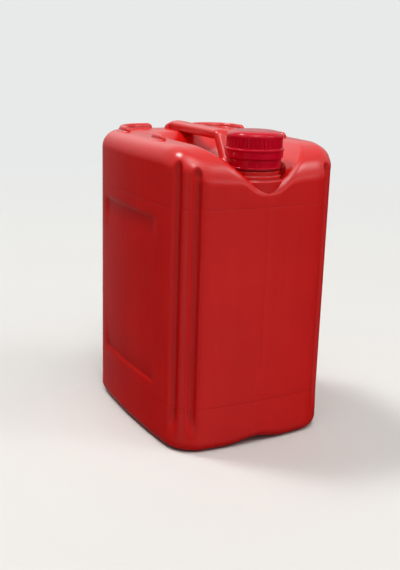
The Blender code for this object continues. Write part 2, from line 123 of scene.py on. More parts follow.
def soft_start(t: np.ndarray, soften: float) -> np.ndarray:
    """0 below 0 and t above it, with the bend rounded by a parabola over `soften` to both sides."""
    return np.where(t < soften, np.maximum(t + soften, 0.0) ** 2 / (4.0 * soften), t)


def soft_least(a: np.ndarray, b: np.ndarray, width: float) -> np.ndarray:
    """The smaller of a and b, with a parabola taken off where they differ by less than width."""
    share = np.clip(0.5 + 0.5 * (b - a) / width, 0.0, 1.0)
    return b + (a - b) * share - width * share * (1.0 - share)


def bell(t: np.ndarray) -> np.ndarray:
    """A bump 1 high at t = 0 that fades out by |t| = 3: exp(-t^2)."""
    return np.exp(-(t**2))


def arc(centre: Point, radius: float, start: float, end: float, steps: int) -> list[Point]:
    """Points on an arc in the (radius, height) plane, its angles in degrees from outwards to up."""
    turn = np.radians(np.linspace(start, end, steps + 1))
    return list(zip(centre[0] + radius * np.cos(turn), centre[1] + radius * np.sin(turn)))


def read_off(places: np.ndarray, at: np.ndarray, values: np.ndarray) -> np.ndarray:
    """Both columns of values, known at rising places, read off at others along straight lines."""
    return np.column_stack([np.interp(places, at, values[:, axis]) for axis in (0, 1)])


def lengths_along(line: np.ndarray) -> np.ndarray:
    """Distance of each point of a line from its start."""
    return np.concatenate([[0.0], np.cumsum(np.linalg.norm(np.diff(line, axis=0), axis=1))])


def right_of(line: np.ndarray) -> np.ndarray:
    """Unit normals to the right of a line's run: its gradient turned by a quarter."""
    along = np.gradient(line, axis=0)
    along /= np.linalg.norm(along, axis=1)[:, None]
    return np.column_stack([along[:, 1], -along[:, 0]])


def refined(profile: list[Point], step: float, closed: bool = False) -> np.ndarray:
    """Profile with points added so that no span is longer than a step.

    Args:
        profile: (radius, height) points.
        step: Longest span allowed.
        closed: Whether the last point joins the first.

    Returns:
        The profile's corners and the points between them.
    """
    corners = np.array([*profile, profile[0]] if closed else profile, float)
    spans = np.linalg.norm(np.diff(corners, axis=0), axis=1)
    counts = np.maximum(1, np.ceil(spans / step)).astype(int)
    place = np.concatenate([i + np.arange(n) / n for i, n in enumerate(counts)])
    if not closed:
        place = np.append(place, len(corners) - 1)
    return read_off(place, np.arange(len(corners)), corners)


def thread_bump(angle: np.ndarray, height: np.ndarray, low: float, high: float, turns: float) -> np.ndarray:
    """Share of a right-hand thread's full depth at an angle and height.

    The crest rises one pitch a turn from `low`. Its section is a flat crest with sloping flanks,
    and it fades in and out over the first and last sixth of a turn.

    Args:
        angle: Angle about the neck's axis, from 0 to a full turn.
        height: Height of the point.
        low: Height of the crest at its start.
        high: Height above which there is no thread.
        turns: Number of turns.

    Returns:
        0 off the thread and 1 on its crest.
    """
    best = np.zeros(np.broadcast(angle, height).shape)
    for lap in range(math.ceil(turns) + 1):
        turned_by = angle / (2.0 * math.pi) + lap
        crest = low + THREAD_PITCH * turned_by
        flank = np.clip(THREAD_FLAT - np.abs(height - crest) / THREAD_FLANK, 0.0, 1.0)
        fade = plateau(turned_by, 0.0, turns, THREAD_FADE_LAPS)
        best = np.maximum(best, flank * fade * (crest < high))
    return best


# Meshes from grids
def quads_between(index: np.ndarray) -> np.ndarray:
    """Corner numbers of the quads of a grid of point numbers, four to a line."""
    corners = [index[:-1, :-1], index[:-1, 1:], index[1:, 1:], index[1:, :-1]]
    return np.stack(corners, axis=-1).reshape(-1, 4)


def fan(line: np.ndarray, pole: int) -> np.ndarray:
    """Triangles from each span of a line of point numbers to a pole."""
    return np.stack([line[:-1], line[1:], np.full(len(line) - 1, pole)], axis=-1)


def enclosed_volume(points: np.ndarray, triangles: np.ndarray) -> float:
    """Volume inside a closed mesh: a sixth of its faces' triple products, negative when they face in."""
    a, b, c = (points[triangles[:, corner]] for corner in range(3))
    return float(np.einsum("ij,ij->i", a, np.cross(b, c)).sum() / 6.0)


@dataclass
class Skin:
    """A mesh put together from grids of points.

    Attributes:
        points: Blocks of points gathered so far.
        quads: Blocks of the quads' corner numbers.
        triangles: Blocks of the triangles' corner numbers.
        count: Number of points gathered.
    """

    points: list[np.ndarray] = field(default_factory=list)
    quads: list[np.ndarray] = field(default_factory=lambda: [np.zeros((0, 4), int)])
    triangles: list[np.ndarray] = field(default_factory=lambda: [np.zeros((0, 3), int)])
    count: int = 0

    def add_points(self, points: np.ndarray) -> np.ndarray:
        """Adds points.

        Args:
            points: Array whose last axis is x, y and z.

        Returns:
            The points' numbers, laid out as they are.
        """
        self.points.append(points.reshape(-1, 3))
        numbers = self.count + np.arange(len(self.points[-1])).reshape(points.shape[:-1])
        self.count += numbers.size
        return numbers

    def add_rings(self, rings: np.ndarray, wrap_rows: bool = False, poles: bool = False) -> np.ndarray:
        """Adds rows of closed rings.

        Args:
            rings: Points by row, column and axis.
            wrap_rows: Whether the last ring joins the first.
            poles: Whether each end closes in a point at its ring's middle.

        Returns:
            The points' numbers by row and column.
        """
        numbers = self.add_points(rings)
        index = np.concatenate([numbers, numbers[:, :1]], axis=1)
        self.quads.append(quads_between(np.concatenate([index, index[:1]]) if wrap_rows else index))
        if poles:
            low, high = (self.add_points(ring.mean(axis=0)) for ring in (rings[0], rings[-1]))
            self.triangles += [fan(index[0], low)[:, ::-1], fan(index[-1], high)]
        return numbers

    def build(self, name: str, material: Material, crease: float = 40.0) -> Piece:
        """Makes the object, with faces outwards and smooth shading up to a crease angle.

        Args:
            name: Name of the piece.
            material: Its material.
            crease: Angle in degrees above which an edge stays sharp.

        Returns:
            The new object, at the origin.
        """
        blocks = (self.points, self.quads, self.triangles)
        points, quads, triangles = (np.concatenate(block) for block in blocks)
        cut = np.concatenate([quads[:, [0, 1, 2]], quads[:, [0, 2, 3]], triangles])
        if enclosed_volume(points, cut) < 0.0:
            quads, triangles = quads[:, ::-1], triangles[:, ::-1]
        mesh = bpy.data.meshes.new(name)
        mesh.from_pydata(points.tolist(), [], [*quads.tolist(), *triangles.tolist()])
        mesh.validate()
        mesh.shade_smooth()
        mesh.set_sharp_from_angle(angle=math.radians(crease))
        mesh.materials.append(material)
        piece = bpy.data.objects.new(name, mesh)
        bpy.context.scene.collection.objects.link(piece)
        return piece


def turned_piece(
    name: str, profile: np.ndarray, steps: int, push: Push, material: Material, poles: bool = False
) -> Piece:
    """A closed piece turned about the neck's upright axis.

    Each point is (r cos a, y of the axis + r sin a, z), where r is pushed in or out.

    Args:
        name: Name of the piece.
        profile: (radius, height) points.
        steps: Points in each ring.
        push: Function of (angle, height, radius) that returns the radius to use.
        material: Its material.
        poles: Whether the profile runs from pole to pole, and isn't a closed loop.

    Returns:
        The new piece.
    """
    angle = np.linspace(0.0, 2.0 * math.pi, steps, endpoint=False)[None, :]
    radius, height = (np.broadcast_to(profile[:, axis, None], (len(profile), steps)) for axis in (0, 1))
    radius = push(angle, height, radius)
    skin = Skin()
    rings = np.stack([radius * np.cos(angle), NECK_Y + radius * np.sin(angle), height], axis=-1)
    skin.add_rings(rings, wrap_rows=not poles, poles=poles)
    return skin.build(name, material, TURNED_CREASE)


# Node materials
@dataclass
class Graph:
    """Adds and joins nodes in one node tree."""

    tree: bpy.types.NodeTree

    def feed(self, node: Node, inputs: Inputs) -> None:
        """Joins a node's inputs to sockets, or sets them to plain values.

        Args:
            node: Node whose inputs are fed.
            inputs: Sockets or values by input name or number.
        """
        for key, value in inputs.items():
            if isinstance(value, bpy.types.NodeSocket):
                self.tree.links.new(value, node.inputs[key])
            else:
                node.inputs[key].default_value = value

    def node(self, kind: str, inputs: Inputs | None = None, **settings: object) -> Node:
        """Adds a node.

        Args:
            kind: Blender's name of the node type.
            inputs: Sockets or values by input name or number.
            settings: Properties of the node.

        Returns:
            The new node.
        """
        made = self.tree.nodes.new(kind)
        for key, value in settings.items():
            setattr(made, key, value)
        self.feed(made, inputs or {})
        return made

    def math(self, operation: str, *values: object) -> Socket:
        """Combines values with Math nodes, each taking the result so far and the next value.

        Args:
            operation: Blender's name of the operation.
            values: Sockets or numbers.

        Returns:
            The last node's result.
        """
        result = values[0]
        for value in values[1:]:
            result = self.node("ShaderNodeMath", {0: result, 1: value}, operation=operation).outputs[0]
        return result

    def span(
        self, value: Socket, low: float, high: float, to_low: object = 0.0, to_high: object = 1.0
    ) -> Socket:
        """Adds a Map Range node that clamps, from low and high to to_low and to_high."""
        inputs = {"Value": value, "From Min": low, "From Max": high, "To Min": to_low, "To Max": to_high}
        return self.node("ShaderNodeMapRange", inputs).outputs["Result"]

    def mix(self, share: Socket, first: object, second: object) -> Socket:
        """Adds a colour mix from first to second, whose colour sockets are 6 and 7 in and 2 out."""
        return self.node("ShaderNodeMix", {0: share, 6: first, 7: second}, data_type="RGBA").outputs[2]

    def noise(self, vector: Socket, scale: object, detail: float = 2.0, roughness: float = 0.5) -> Socket:
        """Adds a Noise Texture and returns its value."""
        inputs = {"Vector": vector, "Scale": scale, "Detail": detail, "Roughness": roughness}
        return self.node("ShaderNodeTexNoise", inputs).outputs["Fac"]

    def drawn_out(self, vector: Socket, stretch: Colour, turn: Colour = (0.0, 0.0, 0.0)) -> Socket:
        """Adds a Mapping node that turns a place and stretches it along each axis."""
        inputs = {"Vector": vector, "Rotation": turn, "Scale": stretch}
        return self.node("ShaderNodeMapping", inputs).outputs["Vector"]

    def group(self, tree: NodeGroup, place: Socket, **values: float) -> bpy.types.NodeOutputs:
        """Adds a shader node group that works at a place with its own values."""
        return self.node("ShaderNodeGroup", {"Vector": place, **values}, node_tree=tree).outputs

    def put_out(self, results: dict[str, Socket]) -> NodeGroup:
        """Gives a shader node group its number outputs.

        Args:
            results: Socket behind each output.

        Returns:
            The finished group.
        """
        for label in results:
            self.tree.interface.new_socket(label, in_out="OUTPUT", socket_type="NodeSocketFloat")
        self.node("NodeGroupOutput", results)
        return self.tree


def start_group(name: str, **numbers: float) -> tuple[Graph, bpy.types.NodeOutputs]:
    """Starts a shader node group that takes a place and numbers.

    Args:
        name: Name of the group.
        numbers: Default of each number input.

    Returns:
        A graph in the group, and its inputs by name, of which Vector is the place.
    """
    graph = Graph(bpy.data.node_groups.new(name, "ShaderNodeTree"))
    graph.tree.interface.new_socket("Vector", in_out="INPUT", socket_type="NodeSocketVector")
    for label, default in numbers.items():
        socket = graph.tree.interface.new_socket(label, in_out="INPUT", socket_type="NodeSocketFloat")
        socket.default_value = default
    return graph, graph.node("NodeGroupInput").outputs


def mould_grain() -> NodeGroup:
    """Relief that the blasted mould leaves: fine pits over a faint, longer unevenness.

    Returns:
        Group with a Height: fine and coarser pits, mixed 3 to 2, and taken towards the waves.
    """
    graph, given = start_group("mould grain", Pits=1400.0, Waves=90.0, Wave_share=0.5)
    pits = graph.noise(given["Vector"], given["Pits"], 2.0, 0.6)
    middle = graph.noise(given["Vector"], graph.math("MULTIPLY", given["Pits"], 0.31), 1.0)
    waves = graph.noise(given["Vector"], given["Waves"], 1.0)
    fine = graph.math("ADD", graph.math("MULTIPLY", pits, 0.6), graph.math("MULTIPLY", middle, 0.4))
    long = graph.math("MULTIPLY", graph.math("SUBTRACT", waves, fine), given["Wave_share"])
    return graph.put_out({"Height": graph.math("ADD", fine, long)})


def colour_cloud() -> NodeGroup:
    """Slow clouds and upright flow streaks of the pigment in the plastic.

    Returns:
        Group with a Cloud and a Streak, both from 0 to 1.
    """
    graph, given = start_group("pigment cloud", Size=9.0)
    cloud = graph.noise(given["Vector"], given["Size"], 3.0, 0.55)
    drawn = graph.drawn_out(given["Vector"], (1.0, 1.0, 0.06))
    streak = graph.noise(drawn, graph.math("MULTIPLY", given["Size"], 9.0), 2.0)
    return graph.put_out({"Cloud": graph.span(cloud, 0.35, 0.65), "Streak": graph.span(streak, 0.42, 0.62)})


def scuffs_and_painted_shade() -> NodeGroup:
    """Sparse hair scratches in three directions, and rubbed crests and painted shade in hollows from the
    mesh's convexity.

    Returns:
        Group with Scratches and Rubbed crests, which follow Amount, and a mask of painted shade in concave
        places.
    """
    graph, given = start_group("scuffs and painted shade", Amount=0.5)
    place = given["Vector"]
    drawn = [graph.drawn_out(place, stretch, (turn, 0.6 * turn, 1.3 * turn)) for turn, stretch in HAIRS]
    lines = graph.math("MAXIMUM", *(graph.span(graph.noise(hair, 1.0, 1.0), 0.72, 0.77) for hair in drawn))
    patches = graph.span(graph.noise(place, 22.0, 2.0), 0.5, 0.62)
    convex = graph.node("ShaderNodeNewGeometry").outputs["Pointiness"]
    crests = graph.span(convex, *CRESTS)
    worn = graph.span(graph.noise(place, 260.0, 3.0), 0.4, 0.6)
    return graph.put_out(
        {
            "Scratches": graph.math("MULTIPLY", lines, patches, given["Amount"]),
            "Rubbed": graph.math("MULTIPLY", crests, worn, given["Amount"]),
            # Painted shade: a mask that darkens concave places such as the flutes, standing in for their
            # shadow
            "Painted_shade": graph.span(convex, *PAINTED_SHADE_HOLLOWS[::-1], 1.0, 0.0),
        }
    )


def settled_dust() -> NodeGroup:
    """Thin dust on what faces up: the normal's height times a cloudy noise and specks.

    Returns:
        Group with a Dust that follows Amount.
    """
    graph, given = start_group("settled dust", Amount=0.1)
    normal = graph.node("ShaderNodeNewGeometry").outputs["Normal"]
    facing_up = graph.span(graph.node("ShaderNodeSeparateXYZ", {0: normal}).outputs["Z"], 0.55, 1.0)
    cloud = graph.span(graph.noise(given["Vector"], 35.0, 4.0, 0.65), 0.35, 0.75)
    specks = graph.span(graph.noise(given["Vector"], 1800.0, 1.0), 0.45, 0.75, 0.5, 1.0)
    return graph.put_out({"Dust": graph.math("MULTIPLY", facing_up, cloud, specks, given["Amount"])})


@dataclass
class Effects:
    """Shader node groups that the plastics share, each made once."""

    grain: NodeGroup = field(default_factory=mould_grain)
    cloud: NodeGroup = field(default_factory=colour_cloud)
    # Scratches, rubbed crests and painted shade in hollows
    scuffs_and_shade: NodeGroup = field(default_factory=scuffs_and_painted_shade)
    dust: NodeGroup = field(default_factory=settled_dust)


def linear(red: int, green: int, blue: int) -> Colour:
    """Linear colour of an sRGB one given in steps of 255."""
    share = np.array([red, green, blue]) / 255.0
    value = np.where(share <= 0.04045, share / 12.92, ((share + 0.055) / 1.055) ** 2.4)
    return tuple(float(v) for v in value)


def opaque(colour: Colour, tone: float = 1.0) -> tuple[float, ...]:
    """A colour times a tone, with a full alpha behind it."""
    return (*(tone * value for value in colour), 1.0)


def new_material(name: str) -> tuple[Material, Graph, Node, Socket]:
    """Starts a node material.

    Args:
        name: Name of the material.

    Returns:
        The material, its graph, its shader and its Object coordinates.
    """
    material = bpy.data.materials.new(name)
    material.use_nodes = True
    graph = Graph(material.node_tree)
    place = graph.node("ShaderNodeTexCoord").outputs["Object"]
    return material, graph, material.node_tree.nodes["Principled BSDF"], place


@dataclass(frozen=True)
class MouldedPlastic:
    """A coloured moulded plastic.

    Attributes:
        name: Name of the material.
        colour: Main colour.
        deep: Colour of the darker clouds.
        rubbed: Colour of scratches and worn crests.
        roughness: Roughness of the clean skin.
        pits: Mould grain pits in a metre.
        waves: Waves of unevenness in a metre.
        wave_share: How much of the relief is waves.
        relief: Depth of the relief.
        wear: Amount of scratches and rubbing.
        dust: Amount of dust on top.
        specular: Strength of the clean skin's reflection.
        painted_hollow_shade: How far hollows are darkened by painted shade, towards the shade's tone.
        streak_share: How much of the pigment's change is streaks.
        painted_shade_tone: Colour of the painted shade in the deepest hollows, as a share of deep.
        dust_colour: Colour of the dust.
        streak_roughness: How far streaks take the roughness up or down.
        worn_roughness: Roughness that wear adds.
        dusty_roughness: Roughness that dust adds.
        grain_strength: Strength of the relief's bump.
    """

    name: str
    colour: Colour
    deep: Colour
    rubbed: Colour
    roughness: float
    pits: float
    waves: float
    wave_share: float
    relief: float
    wear: float
    dust: float
    specular: float
    painted_hollow_shade: float = 0.0
    streak_share: float = 0.25
    painted_shade_tone: float = 0.5
    dust_colour: Colour = (0.55, 0.50, 0.48)
    streak_roughness: float = 0.02
    worn_roughness: float = 0.18
    dusty_roughness: float = 0.4
    grain_strength: float = 0.35

    def build(self, effects: Effects) -> Material:
        """Makes the node material from the shared effects.

        Args:
            effects: The groups that this plastic gives its own values.

        Returns:
            The new material.
        """
        material, graph, shader, place = new_material(self.name)
        relief = {"Pits": self.pits, "Waves": self.waves, "Wave_share": self.wave_share}
        grain = graph.group(effects.grain, place, **relief)
        cloud = graph.group(effects.cloud, place)
        scuffs_and_shade = graph.group(effects.scuffs_and_shade, place, Amount=self.wear)
        dust = graph.group(effects.dust, place, Amount=self.dust)

        clouds = graph.math("MULTIPLY", cloud["Cloud"], 1.0 - self.streak_share)
        pigment = graph.math("ADD", clouds, graph.math("MULTIPLY", cloud["Streak"], self.streak_share))
        colour = graph.mix(pigment, opaque(self.deep), opaque(self.colour))
        # Painted shade: concave places such as the flutes are darkened towards a share of the deep colour,
        # standing in for their shadow
        painted_shade = graph.math("MULTIPLY", scuffs_and_shade["Painted_shade"], self.painted_hollow_shade)
        colour = graph.mix(painted_shade, colour, opaque(self.deep, self.painted_shade_tone))
        worn = graph.math("MAXIMUM", scuffs_and_shade["Scratches"], scuffs_and_shade["Rubbed"])
        colour = graph.mix(worn, colour, opaque(self.rubbed))
        colour = graph.mix(dust["Dust"], colour, opaque(self.dust_colour))

        low, high = self.roughness - self.streak_roughness, self.roughness + self.streak_roughness
        rough = graph.math(
            "ADD",
            graph.span(cloud["Streak"], 0.0, 1.0, low, high),
            graph.math("MULTIPLY", worn, self.worn_roughness),
            graph.math("MULTIPLY", dust["Dust"], self.dusty_roughness),
        )
        inputs = {"Height": grain["Height"], "Strength": self.grain_strength, "Distance": self.relief}
        normal = graph.node("ShaderNodeBump", inputs).outputs["Normal"]
        graph.feed(shader, {"Base Color": colour, "Roughness": rough, "Normal": normal, "IOR": 1.5})
        graph.feed(shader, {"Specular IOR Level": self.specular})
        return material


@dataclass(frozen=True)
class FoamFinish:
    """Closed-cell foam of the sealing disc.

    Attributes:
        name: Name of the material.
        colour: Colour of the foam.
        border_tone: The cells' borders' colour as a share of that.
        cells: Cells in a metre.
        depth: Depth of the cells.
    """

    name: str = "foam_white_cells"
    colour: Colour = (0.80, 0.79, 0.76)
    border_tone: float = 0.72
    cells: float = 2600.0
    depth: float = 0.0002

    def build(self) -> Material:
        """Makes the node material: Voronoi cells darken their borders and pit the surface.

        Returns:
            The new material.
        """
        material, graph, shader, place = new_material(self.name)
        inputs = {"Vector": place, "Scale": self.cells}
        border = graph.node("ShaderNodeTexVoronoi", inputs, feature="DISTANCE_TO_EDGE").outputs["Distance"]
        wall = graph.span(border, 0.0, 0.25)
        colour = graph.mix(wall, opaque(self.colour, self.border_tone), opaque(self.colour))
        inputs = {"Height": wall, "Strength": 0.5, "Distance": self.depth}
        normal = graph.node("ShaderNodeBump", inputs).outputs["Normal"]
        graph.feed(shader, {"Base Color": colour, "Roughness": 0.8, "Normal": normal})
        return material


CAN_PLASTIC = MouldedPlastic(
    name="can_red_skin",
    colour=linear(216, 18, 13),
    deep=linear(207, 13, 12),
    rubbed=linear(220, 84, 74),
    roughness=0.23,
    pits=1500.0,
    waves=70.0,
    wave_share=0.45,
    relief=0.00004,
    wear=0.12,
    dust=0.02,
    specular=0.45,
    # Painted shade in the flutes and other hollows
    painted_hollow_shade=0.6,
)
CAP_PLASTIC = MouldedPlastic(
    name="cap_crimson_skin",
    colour=linear(206, 0, 36),
    deep=linear(196, 0, 30),
    rubbed=linear(214, 84, 104),
    roughness=0.13,
    pits=2200.0,
    waves=120.0,
    wave_share=0.5,
    relief=0.00002,
    wear=0.06,
    dust=0.004,
    specular=0.16,
)


@dataclass(frozen=True)
class Sampling:
    """How closely one wall of the shell is sampled.

    Attributes:
        base: Rings round the base's edge.
        climb: Rings from the upper mould line to the rolled edge.
        roll: Rings round the rolled edge.
        approach: Rings from there in to the seat.
        seat: Rings down the seat's wall.
        seat_floor: Radii of the rings from there in to the neck's bore.
        outside: Whether this is the outer wall, which shows the mould's witness lines.
    """

    base: int
    climb: int
    roll: int
    approach: int
    seat: int
    seat_floor: tuple[float, ...]
    outside: bool


OUTER_WALL = Sampling(9, 36, 25, 48, 18, (0.0350, 0.0320, 0.0290, NECK_BORE_R), True)
INNER_WALL = Sampling(5, 5, 6, 12, 8, (0.0320, NECK_BORE_R), False)


@dataclass
class CanShell:
    """The blow-moulded shell: walls, rolled edges, sunk top, seat of the neck, base and inner wall.

    The bows are half the angles that a side and a face turn through. The nose is the shoulder's
    fall towards the front, the channel the hollow under the base, and the valley the sunk top
    round the handle and the neck. Where the outline is nearer to the neck than a circle about
    it, the circle shrinks to a share of that reach: circle_shares are its values at the bore
    and at the seat's first ring.
    """

    width: float = 0.240
    depth: float = 0.290
    shoulder_z: float = 0.384
    corner_r: float = 0.046
    side_bow: float = math.radians(5.4)
    face_bow: float = math.radians(6.3)
    base_edge_r: float = 0.014
    top_edge_r: float = 0.024
    front_edge_r: float = 0.014
    wall: float = 0.0022
    nose_r: float = 0.070
    nose_length: float = 0.059
    nose_follow: float = 0.003
    channel_width: float = 0.090
    channel_height: float = 0.0065
    channel_fade: float = 0.056
    flute_middle: float = math.radians(47)
    flute_angle: float = math.radians(15.7)
    flute_half_angle: float = math.radians(11.6)
    flute_depth: float = 0.0052
    flute_dish: float = 0.24
    flute_core: float = 0.72
    flute_fillet: float = 0.12
    ridge_drop: float = 0.0008
    flute_top_by_side: float = 0.369
    flute_top_by_face: float = 0.362
    flute_arch: float = 0.011
    flute_foot: float = 0.018
    flute_foot_run: float = 0.040
    panel_low: float = 0.075
    panel_high: float = 0.299
    panel_front_y: float = -0.082
    panel_rear_y: float = 0.096
    panel_edge: float = 0.0080
    panel_fade: float = 0.042
    panel_end: float = 0.022
    panel_depth: float = 0.0019
    mould_lines: tuple[float, float] = (0.0608, 0.3125)
    line_levels: tuple[float, ...] = (-0.0015, -0.0008, -0.0004, 0.0, 0.0004, 0.0008, 0.0015)
    line_depth: float = 0.00020
    line_half: float = 0.00045
    parting_half: float = 0.0006
    parting_depth: float = 0.00015
    valley_hand_z: float = 0.357
    valley_front_z: float = 0.338
    valley_floor_half: float = 0.015
    valley_top_half: float = 0.079
    valley_soften: float = 0.14
    valley_crease: float = 0.0030
    valley_rear_top_y: float = 0.088
    valley_rear_foot_y: float = 0.033
    valley_hand_front_y: float = -0.030
    seat_r: float = 0.0380
    seat_z: float = 0.3425
    seat_rim_r: float = 0.0405
    seat_rim_z: float = 0.3600
    seat_edge: float = 0.0022
    seat_rings: tuple[float, float] = (0.0440, 0.0374)
    circle_shares: tuple[float, float] = (0.30, 0.95)
    slope_step: float = 0.001
    base_spans: int = 10

    def arcs(self) -> tuple[float, float, float, float]:
        """Works out the arcs whose ends meet the corners without a kink.

        Returns:
            Half lengths of the front's and the side's arcs, then their radii.
        """
        tilt_x, tilt_y = math.tan(self.side_bow / 2.0), math.tan(self.face_bow / 2.0)
        reach_x = self.width / 2.0 - self.corner_r * (math.cos(self.side_bow) - math.sin(self.face_bow))
        reach_y = self.depth / 2.0 - self.corner_r * (math.cos(self.face_bow) - math.sin(self.side_bow))
        face_half = (reach_x - tilt_x * reach_y) / (1.0 - tilt_x * tilt_y)
        side_half = reach_y - tilt_y * face_half
        return face_half, side_half, face_half / math.sin(self.face_bow), side_half / math.sin(self.side_bow)

    def outline(self, facing: np.ndarray) -> np.ndarray:
        """Points of half the outline whose outward side faces an angle.

        Front, corner and side are arcs that meet without a kink.

        Args:
            facing: Angles from 0, the front, to half a turn, the back.

        Returns:
            One (x, y) for each angle.
        """
        face_half, side_half, face_r, side_r = self.arcs()
        turn = np.minimum(facing, math.pi - facing)
        sine, cosine = np.sin(turn), np.cos(turn)
        zones = [turn < self.face_bow, turn > math.pi / 2.0 - self.side_bow]
        corner_x = face_half + self.corner_r * (sine - math.sin(self.face_bow))
        corner_y = side_half + self.corner_r * (cosine - math.sin(self.side_bow))
        x = np.select(zones, [face_r * sine, self.width / 2.0 - side_r * (1.0 - sine)], corner_x)
        y = np.select(zones, [self.depth / 2.0 - face_r * (1.0 - cosine), side_r * cosine], corner_y)
        return np.column_stack([x, np.where(facing > math.pi / 2.0, y, -y)])

    def facings(self) -> np.ndarray:
        """Chooses where half the outline is sampled: closely at flutes, lines and panel edges.

        Returns:
            Angles that the outline faces, from 0 to half a turn.
        """
        near_parting = [0.0, 0.0025, 0.005, 0.009, 0.016]
        face = self.face_bow * np.concatenate([near_parting, np.linspace(0.04, 1.0, 11)])
        reach = self.flute_angle + 1.15 * self.flute_half_angle
        flutes = self.flute_middle + np.linspace(-reach, reach, 81)
        before = np.linspace(self.face_bow, flutes[0], 6)[1:-1]
        after = np.linspace(flutes[-1], math.pi / 2.0 - self.side_bow, 6)[1:-1]
        along = np.concatenate([np.linspace(0.0985, 0.056, 18), np.linspace(0.050, 0.0, 8)])
        side = math.pi / 2.0 - np.arcsin(along / self.arcs()[3])
        quarter = np.concatenate([face, before, flutes, after, side])
        return np.concatenate([quarter, math.pi - quarter[-2::-1]])

    def flute_inset(self, facing: np.ndarray, z: np.ndarray) -> np.ndarray:
        """Depth of the corner flutes and of the ridge between them.

        Each groove is a narrow parabola across, 1 - a^2, in the middle of a wide shallow one,
        and ends at its top in a round arch, where a^2 grows by the square of the height above
        the arch's centre. Its rims are rounded, and it fades out towards the base.

        Args:
            facing: Angles that the outline faces.
            z: Heights.

        Returns:
            How far the skin lies inside the plain corner.
        """
        angle = self.flute_middle - np.minimum(facing, math.pi - facing)
        top = np.where(angle > 0.0, self.flute_top_by_face, self.flute_top_by_side)
        foot = smooth_step((z - self.flute_foot) / self.flute_foot_run)
        above = np.maximum(z - top + self.flute_arch, 0.0) / self.flute_arch
        across = np.abs(np.abs(angle) - self.flute_angle) / self.flute_half_angle
        dish = -soft_least(across**2 + above**2 - 1.0, np.zeros(len(angle)), self.flute_fillet)
        core = (across / self.flute_core) ** 2 + above**2 - 1.0
        core = -soft_least(core, np.zeros(len(angle)), 2.0 * self.flute_fillet)
        groove = self.flute_dish * dish + (1.0 - self.flute_dish) * core
        ridge = np.cos(0.5 * math.pi * np.clip(angle / (self.flute_angle + self.flute_half_angle), -1.0, 1.0))
        ridge = ridge * smooth_step((self.flute_top_by_face - z) / self.flute_arch)
        return foot * (self.flute_depth * groove + self.ridge_drop * ridge)

    def panel_inset(self, points: np.ndarray, z: np.ndarray) -> np.ndarray:
        """Depth of the side panels: a smooth step along either level edge, which fades out inwards.

        Args:
            points: (x, y) points of the plain outline.
            z: Heights.

        Returns:
            How far the skin lies inside the plain side.
        """
        on_side = points[:, 0] > self.width / 2.0 - self.corner_r / 2.0
        across = plateau(points[:, 1], self.panel_front_y, self.panel_rear_y, self.panel_end)
        upright = np.zeros_like(z)
        for inward in (z - self.panel_low, self.panel_high - z):
            fading = 1.0 - smooth_step((inward - self.panel_edge) / self.panel_fade)
            upright = upright + smooth_step(inward / self.panel_edge) * fading
        return np.where(on_side, self.panel_depth * across * upright, 0.0)

    def mould_cut(self, points: np.ndarray, z: np.ndarray) -> np.ndarray:
        """Depth of the witness lines: bells across the two level lines and the upright parting."""
        level = sum(bell((z - line) / self.line_half) for line in self.mould_lines)
        return self.line_depth * level + self.parting_depth * bell(points[:, 0] / self.parting_half)

    def channel_rise(self, x: np.ndarray) -> np.ndarray:
        """Height of the channel under the base: a cosine squared across x."""
        return self.channel_height * np.cos(math.pi * np.clip(x / self.channel_width, -0.5, 0.5)) ** 2

    def shoulders(self, x: np.ndarray, y: np.ndarray) -> np.ndarray:
        """Height of the shoulders and of the valley between them.

        The shoulder falls along an arc towards the front, whose end follows the front's bow,
        x squared over twice its radius. The valley's floor falls straight to the front and
        climbs by a smooth step at the rear, and its flanks climb straight from it. The lower
        of shoulder and flank counts, with the crease between them rounded.

        Args:
            x: Sideways places.
            y: Places from front to back.

        Returns:
            The height at each place.
        """
        bow = np.square(x) * math.sin(self.face_bow) / (2.0 * self.arcs()[0])
        back = self.nose_follow * (1.0 - np.exp(-bow / self.nose_follow))
        beyond = np.clip(-y - (self.depth / 2.0 - back - self.nose_length), 0.0, self.nose_length)
        shoulder = self.shoulder_z - (self.nose_r - np.sqrt(self.nose_r**2 - beyond**2))
        forward = (self.valley_hand_front_y - y) / (self.valley_hand_front_y + self.depth / 2.0)
        floor = self.valley_hand_z + (self.valley_front_z - self.valley_hand_z) * np.clip(forward, 0.0, 1.0)
        rear = (y - self.valley_rear_foot_y) / (self.valley_rear_top_y - self.valley_rear_foot_y)
        crest = self.shoulder_z + self.valley_crease
        floor = floor + (crest - floor) * smooth_step(rear)
        climb = (np.abs(x) - self.valley_floor_half) / (self.valley_top_half - self.valley_floor_half)
        flank = floor + (crest - floor) * soft_start(climb, self.valley_soften)
        return soft_least(shoulder, flank, self.valley_crease)

    def top(self, x: np.ndarray, y: np.ndarray, under: float) -> np.ndarray:
        """Height of the top, or of the surface that lies square below it, by the top's slopes.

        Args:
            x: Sideways places.
            y: Places from front to back.
            under: How far the surface lies inside the skin.

        Returns:
            The height at each place.
        """
        step = self.slope_step
        slope_x = (self.shoulders(x + step, y) - self.shoulders(x - step, y)) / (2.0 * step)
        slope_y = (self.shoulders(x, y + step) - self.shoulders(x, y - step)) / (2.0 * step)
        return self.shoulders(x, y) - under * np.sqrt(1.0 + slope_x**2 + slope_y**2)

    def sunk(self, points: np.ndarray, under: float) -> np.ndarray:
        """Points with their heights kept below the seat's steep cone about the neck.

        Args:
            points: (x, y, z) points.
            under: How far the surface lies inside the skin.

        Returns:
            The points, lowered where the seat is cut.
        """
        reach = np.hypot(points[:, 0], points[:, 1] - NECK_Y) - under
        slope = (self.seat_rim_z - self.seat_z) / (self.seat_rim_r - self.seat_r)
        cone = self.seat_z - under + slope * np.maximum(reach - self.seat_r, 0.0)
        lowered = soft_least(points[:, 2], cone, self.seat_edge)
        return np.column_stack([points[:, :2], lowered])

